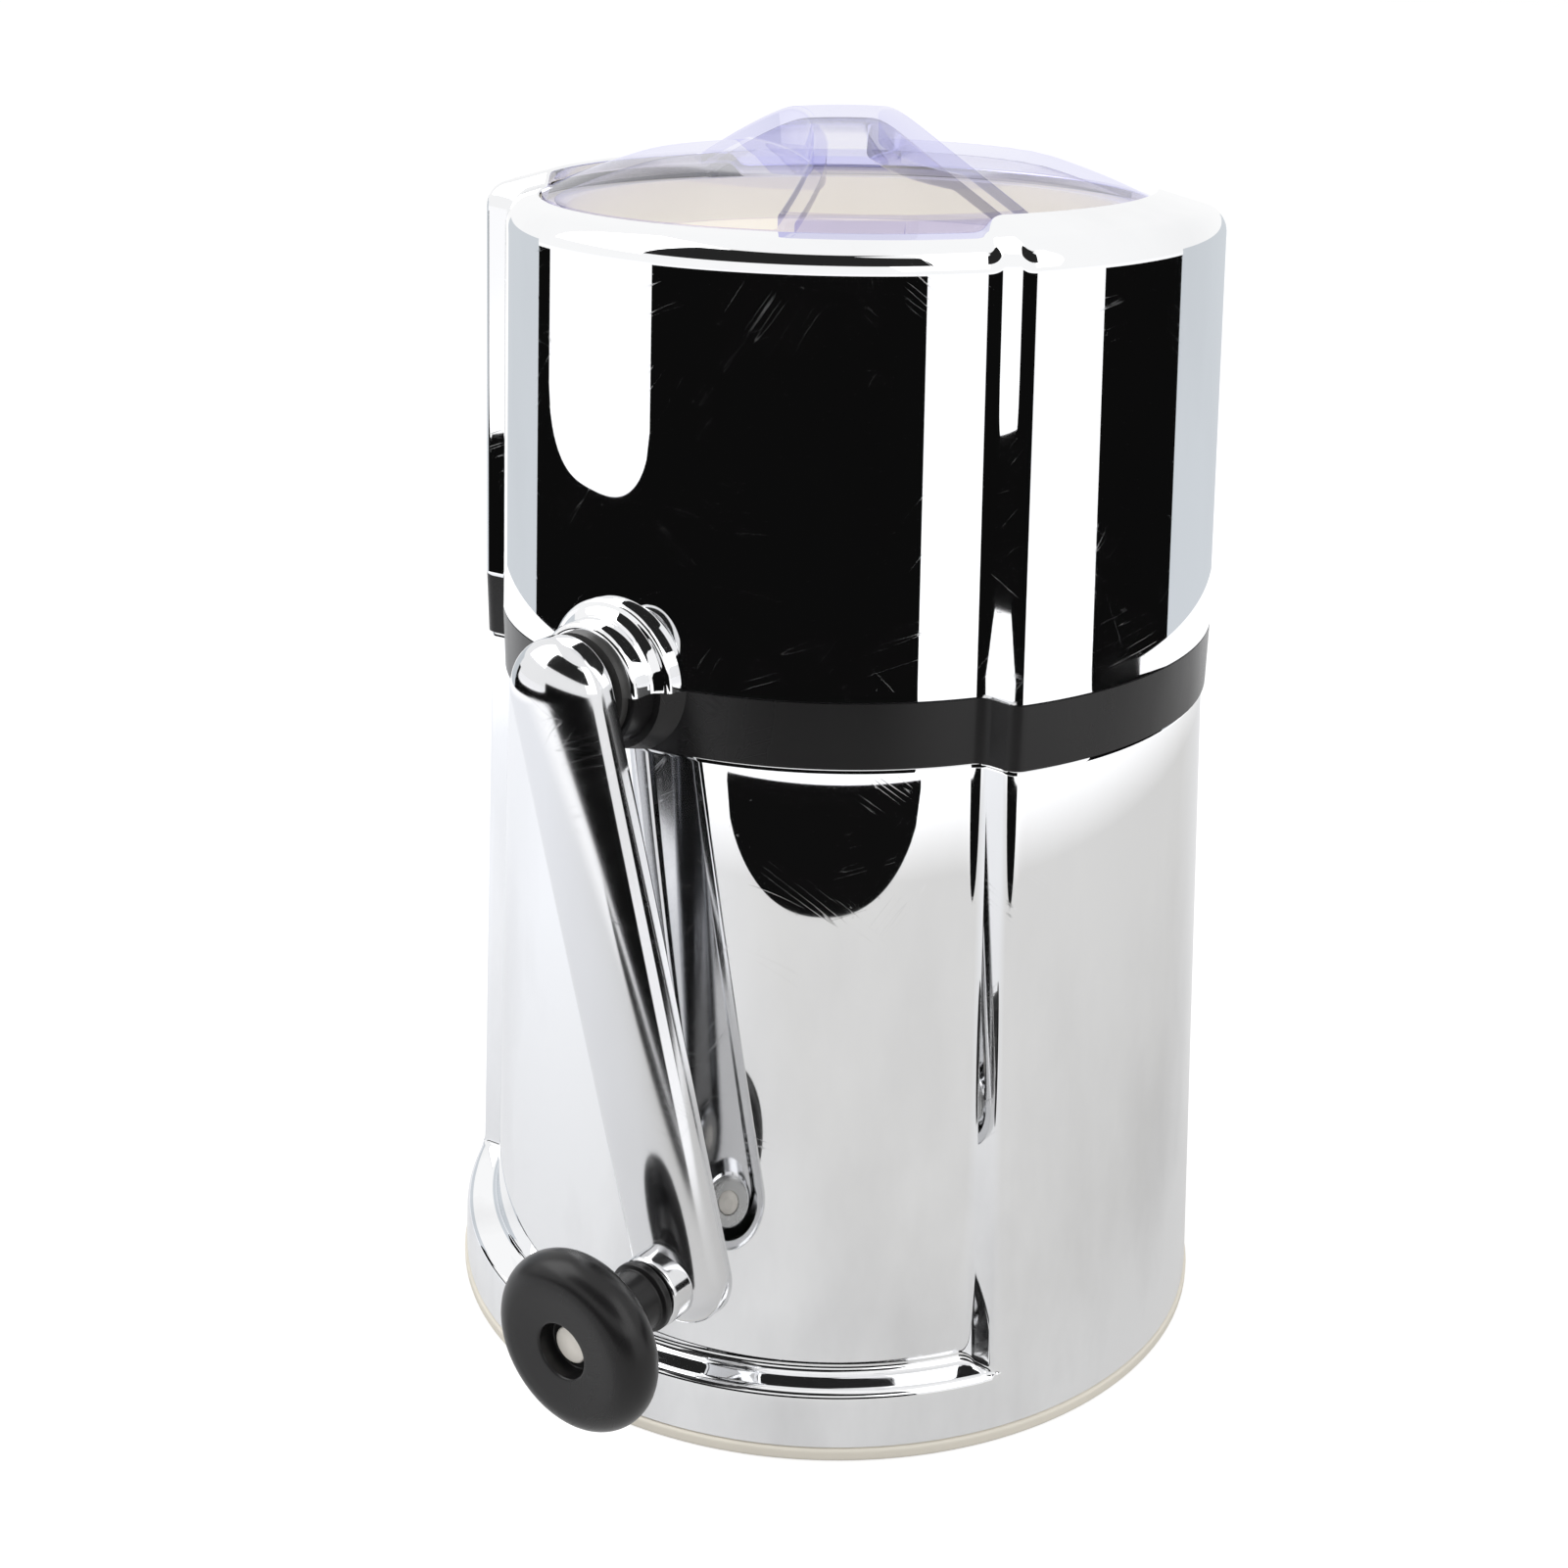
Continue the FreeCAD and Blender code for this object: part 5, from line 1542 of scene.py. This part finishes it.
@dataclass
class ScrewSet:
    """Pan head screws on the seats of one set, made by one tree."""

    shop: Workshop
    tree: ScrewTree
    head_r: float = 3.1
    head_h: float = 1.9
    shank_r: float = 1.35
    thread_r: float = 1.6
    pitch: float = 0.9
    slot_r: float = 1.86
    slot_w: float = 0.9
    slot_d: float = 0.7
    slot_soft: float = 0.12
    turns: int = 72
    thread_steps: int = 16
    thread_half: float = 0.28

    def template(self, length: float) -> bpy.types.Object:
        """One screw with its head up, its seat at the origin and a real thread."""
        form = Form().grid(self.head())
        tip = outline([
            Corner(0.0, 0.2), Corner(self.shank_r, 0.2), Corner(self.shank_r, 1.2 - length, 0.2),
            Corner(0.2, -length, 0.1), Corner(0.0, -length)], 3)
        form.grid(ring_rows(tip, 20))
        per, root, half = self.thread_steps, self.shank_r - 0.1, self.thread_half
        last = int((length - 2.0) / self.pitch) * per
        rows = []
        for i in range(last + 1):
            t, z = math.tau * i / per, -0.6 - self.pitch * i / per
            fade = min(1.0, i / (per / 2), (last - i) / (per / 2))
            crest = lerp(self.shank_r - 0.05, self.thread_r, fade)
            rows.append([(r * math.cos(t), r * math.sin(t), z + rise)
                         for r, rise in ((root, half), (crest, 0.0), (root, -half))])
        form.grid(rows)
        return form.done("screw_template", 40.0)

    def head(self) -> list[list[Point]]:
        """Rows of the pan head from its seat to the middle of its pressed cross."""
        side = outline([
            Corner(0.0, 0.0), Corner(self.head_r, 0.0, 0.1), Corner(self.head_r, self.head_h * 0.5, 0.3),
            Corner(self.head_r * 0.8, self.head_h, 0.5), Corner(self.slot_r + 0.25, self.head_h)], 4)
        rows = ring_rows(side, self.turns)
        for r in spaced(self.slot_r + 0.2, 0.01, 16):
            row = []
            for i in range(self.turns):
                t = math.tau * i / self.turns
                x, y = abs(r * math.sin(t)), abs(r * math.cos(t))
                arm = (self.slot_w / 2 - min(x, y)) / self.slot_soft + 0.5
                reach = (self.slot_r - max(x, y)) / self.slot_soft
                drop = self.slot_d * max(0.0, min(1.0, arm, reach))
                row.append((r * math.sin(t), -r * math.cos(t), self.head_h - drop))
            rows.append(row)
        return rows

    def make(self, name: str, node: str, body: Body, heading: Point, length: float, seed: int) -> None:
        """Set the screws of one CAD node.

        Args:
            name: Name of the new piece.
            node: CAD node that it stands for, as separate screws.
            body: Body that it rides on.
            heading: Direction that the heads face; a zero stands for away from the middle.
            length: Length under the head.
            seed: Seed of each screw's turn.
        """
        seats = self.seats(node, heading)
        data = bpy.data.meshes.new("seats")
        data.from_pydata([tuple(spot) for spot, _ in seats], [], [])
        attribute = data.attributes.new("heading", "FLOAT_VECTOR", "POINT")
        for index, (_, way) in enumerate(seats):
            attribute.data[index].vector = way
        seed_object = bpy.data.objects.new("seats", data)
        bpy.context.scene.collection.objects.link(seed_object)
        template = self.template(length)
        modifier = seed_object.modifiers.new("screws", "NODES")
        modifier.node_group = self.tree.tree
        modifier[self.tree.screw] = template
        modifier[self.tree.paint] = self.shop.paints.steel
        modifier[self.tree.seed] = seed
        result = baked(seed_object)
        bpy.data.objects.remove(template)
        piece = placed(name, result, 40.0)
        settle(piece, body, self.shop.paints.steel, [node])

    def seats(self, node: str, heading: Point) -> list[tuple[Vector, Vector]]:
        """Seat and direction of each screw of a CAD node.

        Args:
            node: The CAD node.
            heading: Direction that the heads face, or zero for away from the middle along X.

        Returns:
            The middle of each seat and its direction.
        """
        found: dict[tuple[bool, bool], list[Vector]] = {}
        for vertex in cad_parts[node].data.vertices:
            key = (vertex.co.x > 0, vertex.co.y > 0)
            found.setdefault(key, []).append(vertex.co.copy())
        result = []
        for spots in found.values():
            low = Vector([min(p[i] for p in spots) for i in range(3)])
            high = Vector([max(p[i] for p in spots) for i in range(3)])
            middle = (low + high) / 2
            way = Vector(heading) if any(heading) else Vector((math.copysign(1.0, middle.x), 0.0, 0.0))
            ends = zip(way, low, middle, high)
            tip = Vector([top if w > 0 else foot if w < 0 else mid for w, foot, mid, top in ends])
            result.append((tip - way * self.head_h * MM, way))
        return result


def main() -> None:
    """Build the studio and every sub-assembly in order."""
    logging.basicConfig(level=logging.INFO, format="%(name)s %(message)s")
    Studio().build()
    shop = Workshop(Finishes(), LatheTree())
    Bin(shop).build()
    Head(shop).build()
    Lid(shop).build()
    crank = Crank(shop)
    crank.build()
    Knob(shop, crank.pin_place()).build()
    screws = ScrewSet(shop, ScrewTree())
    down, up, outwards = (0.0, 0.0, -1.0), (0.0, 0.0, 1.0), (0.0, 0.0, 0.0)
    screws.make("floor_screws", "base_screws", Body.BIN, down, length=11.1, seed=3)
    screws.make("deck_screws", "housing_screws", Body.HEAD, down, length=11.2, seed=5)
    screws.make("crusher_screws", "frame_screws", Body.HEAD, up, length=9.0, seed=7)
    screws.make("side_screws", "comb_screws", Body.HEAD, outwards, length=4.5, seed=11)


if __name__ == "__main__":
    main()
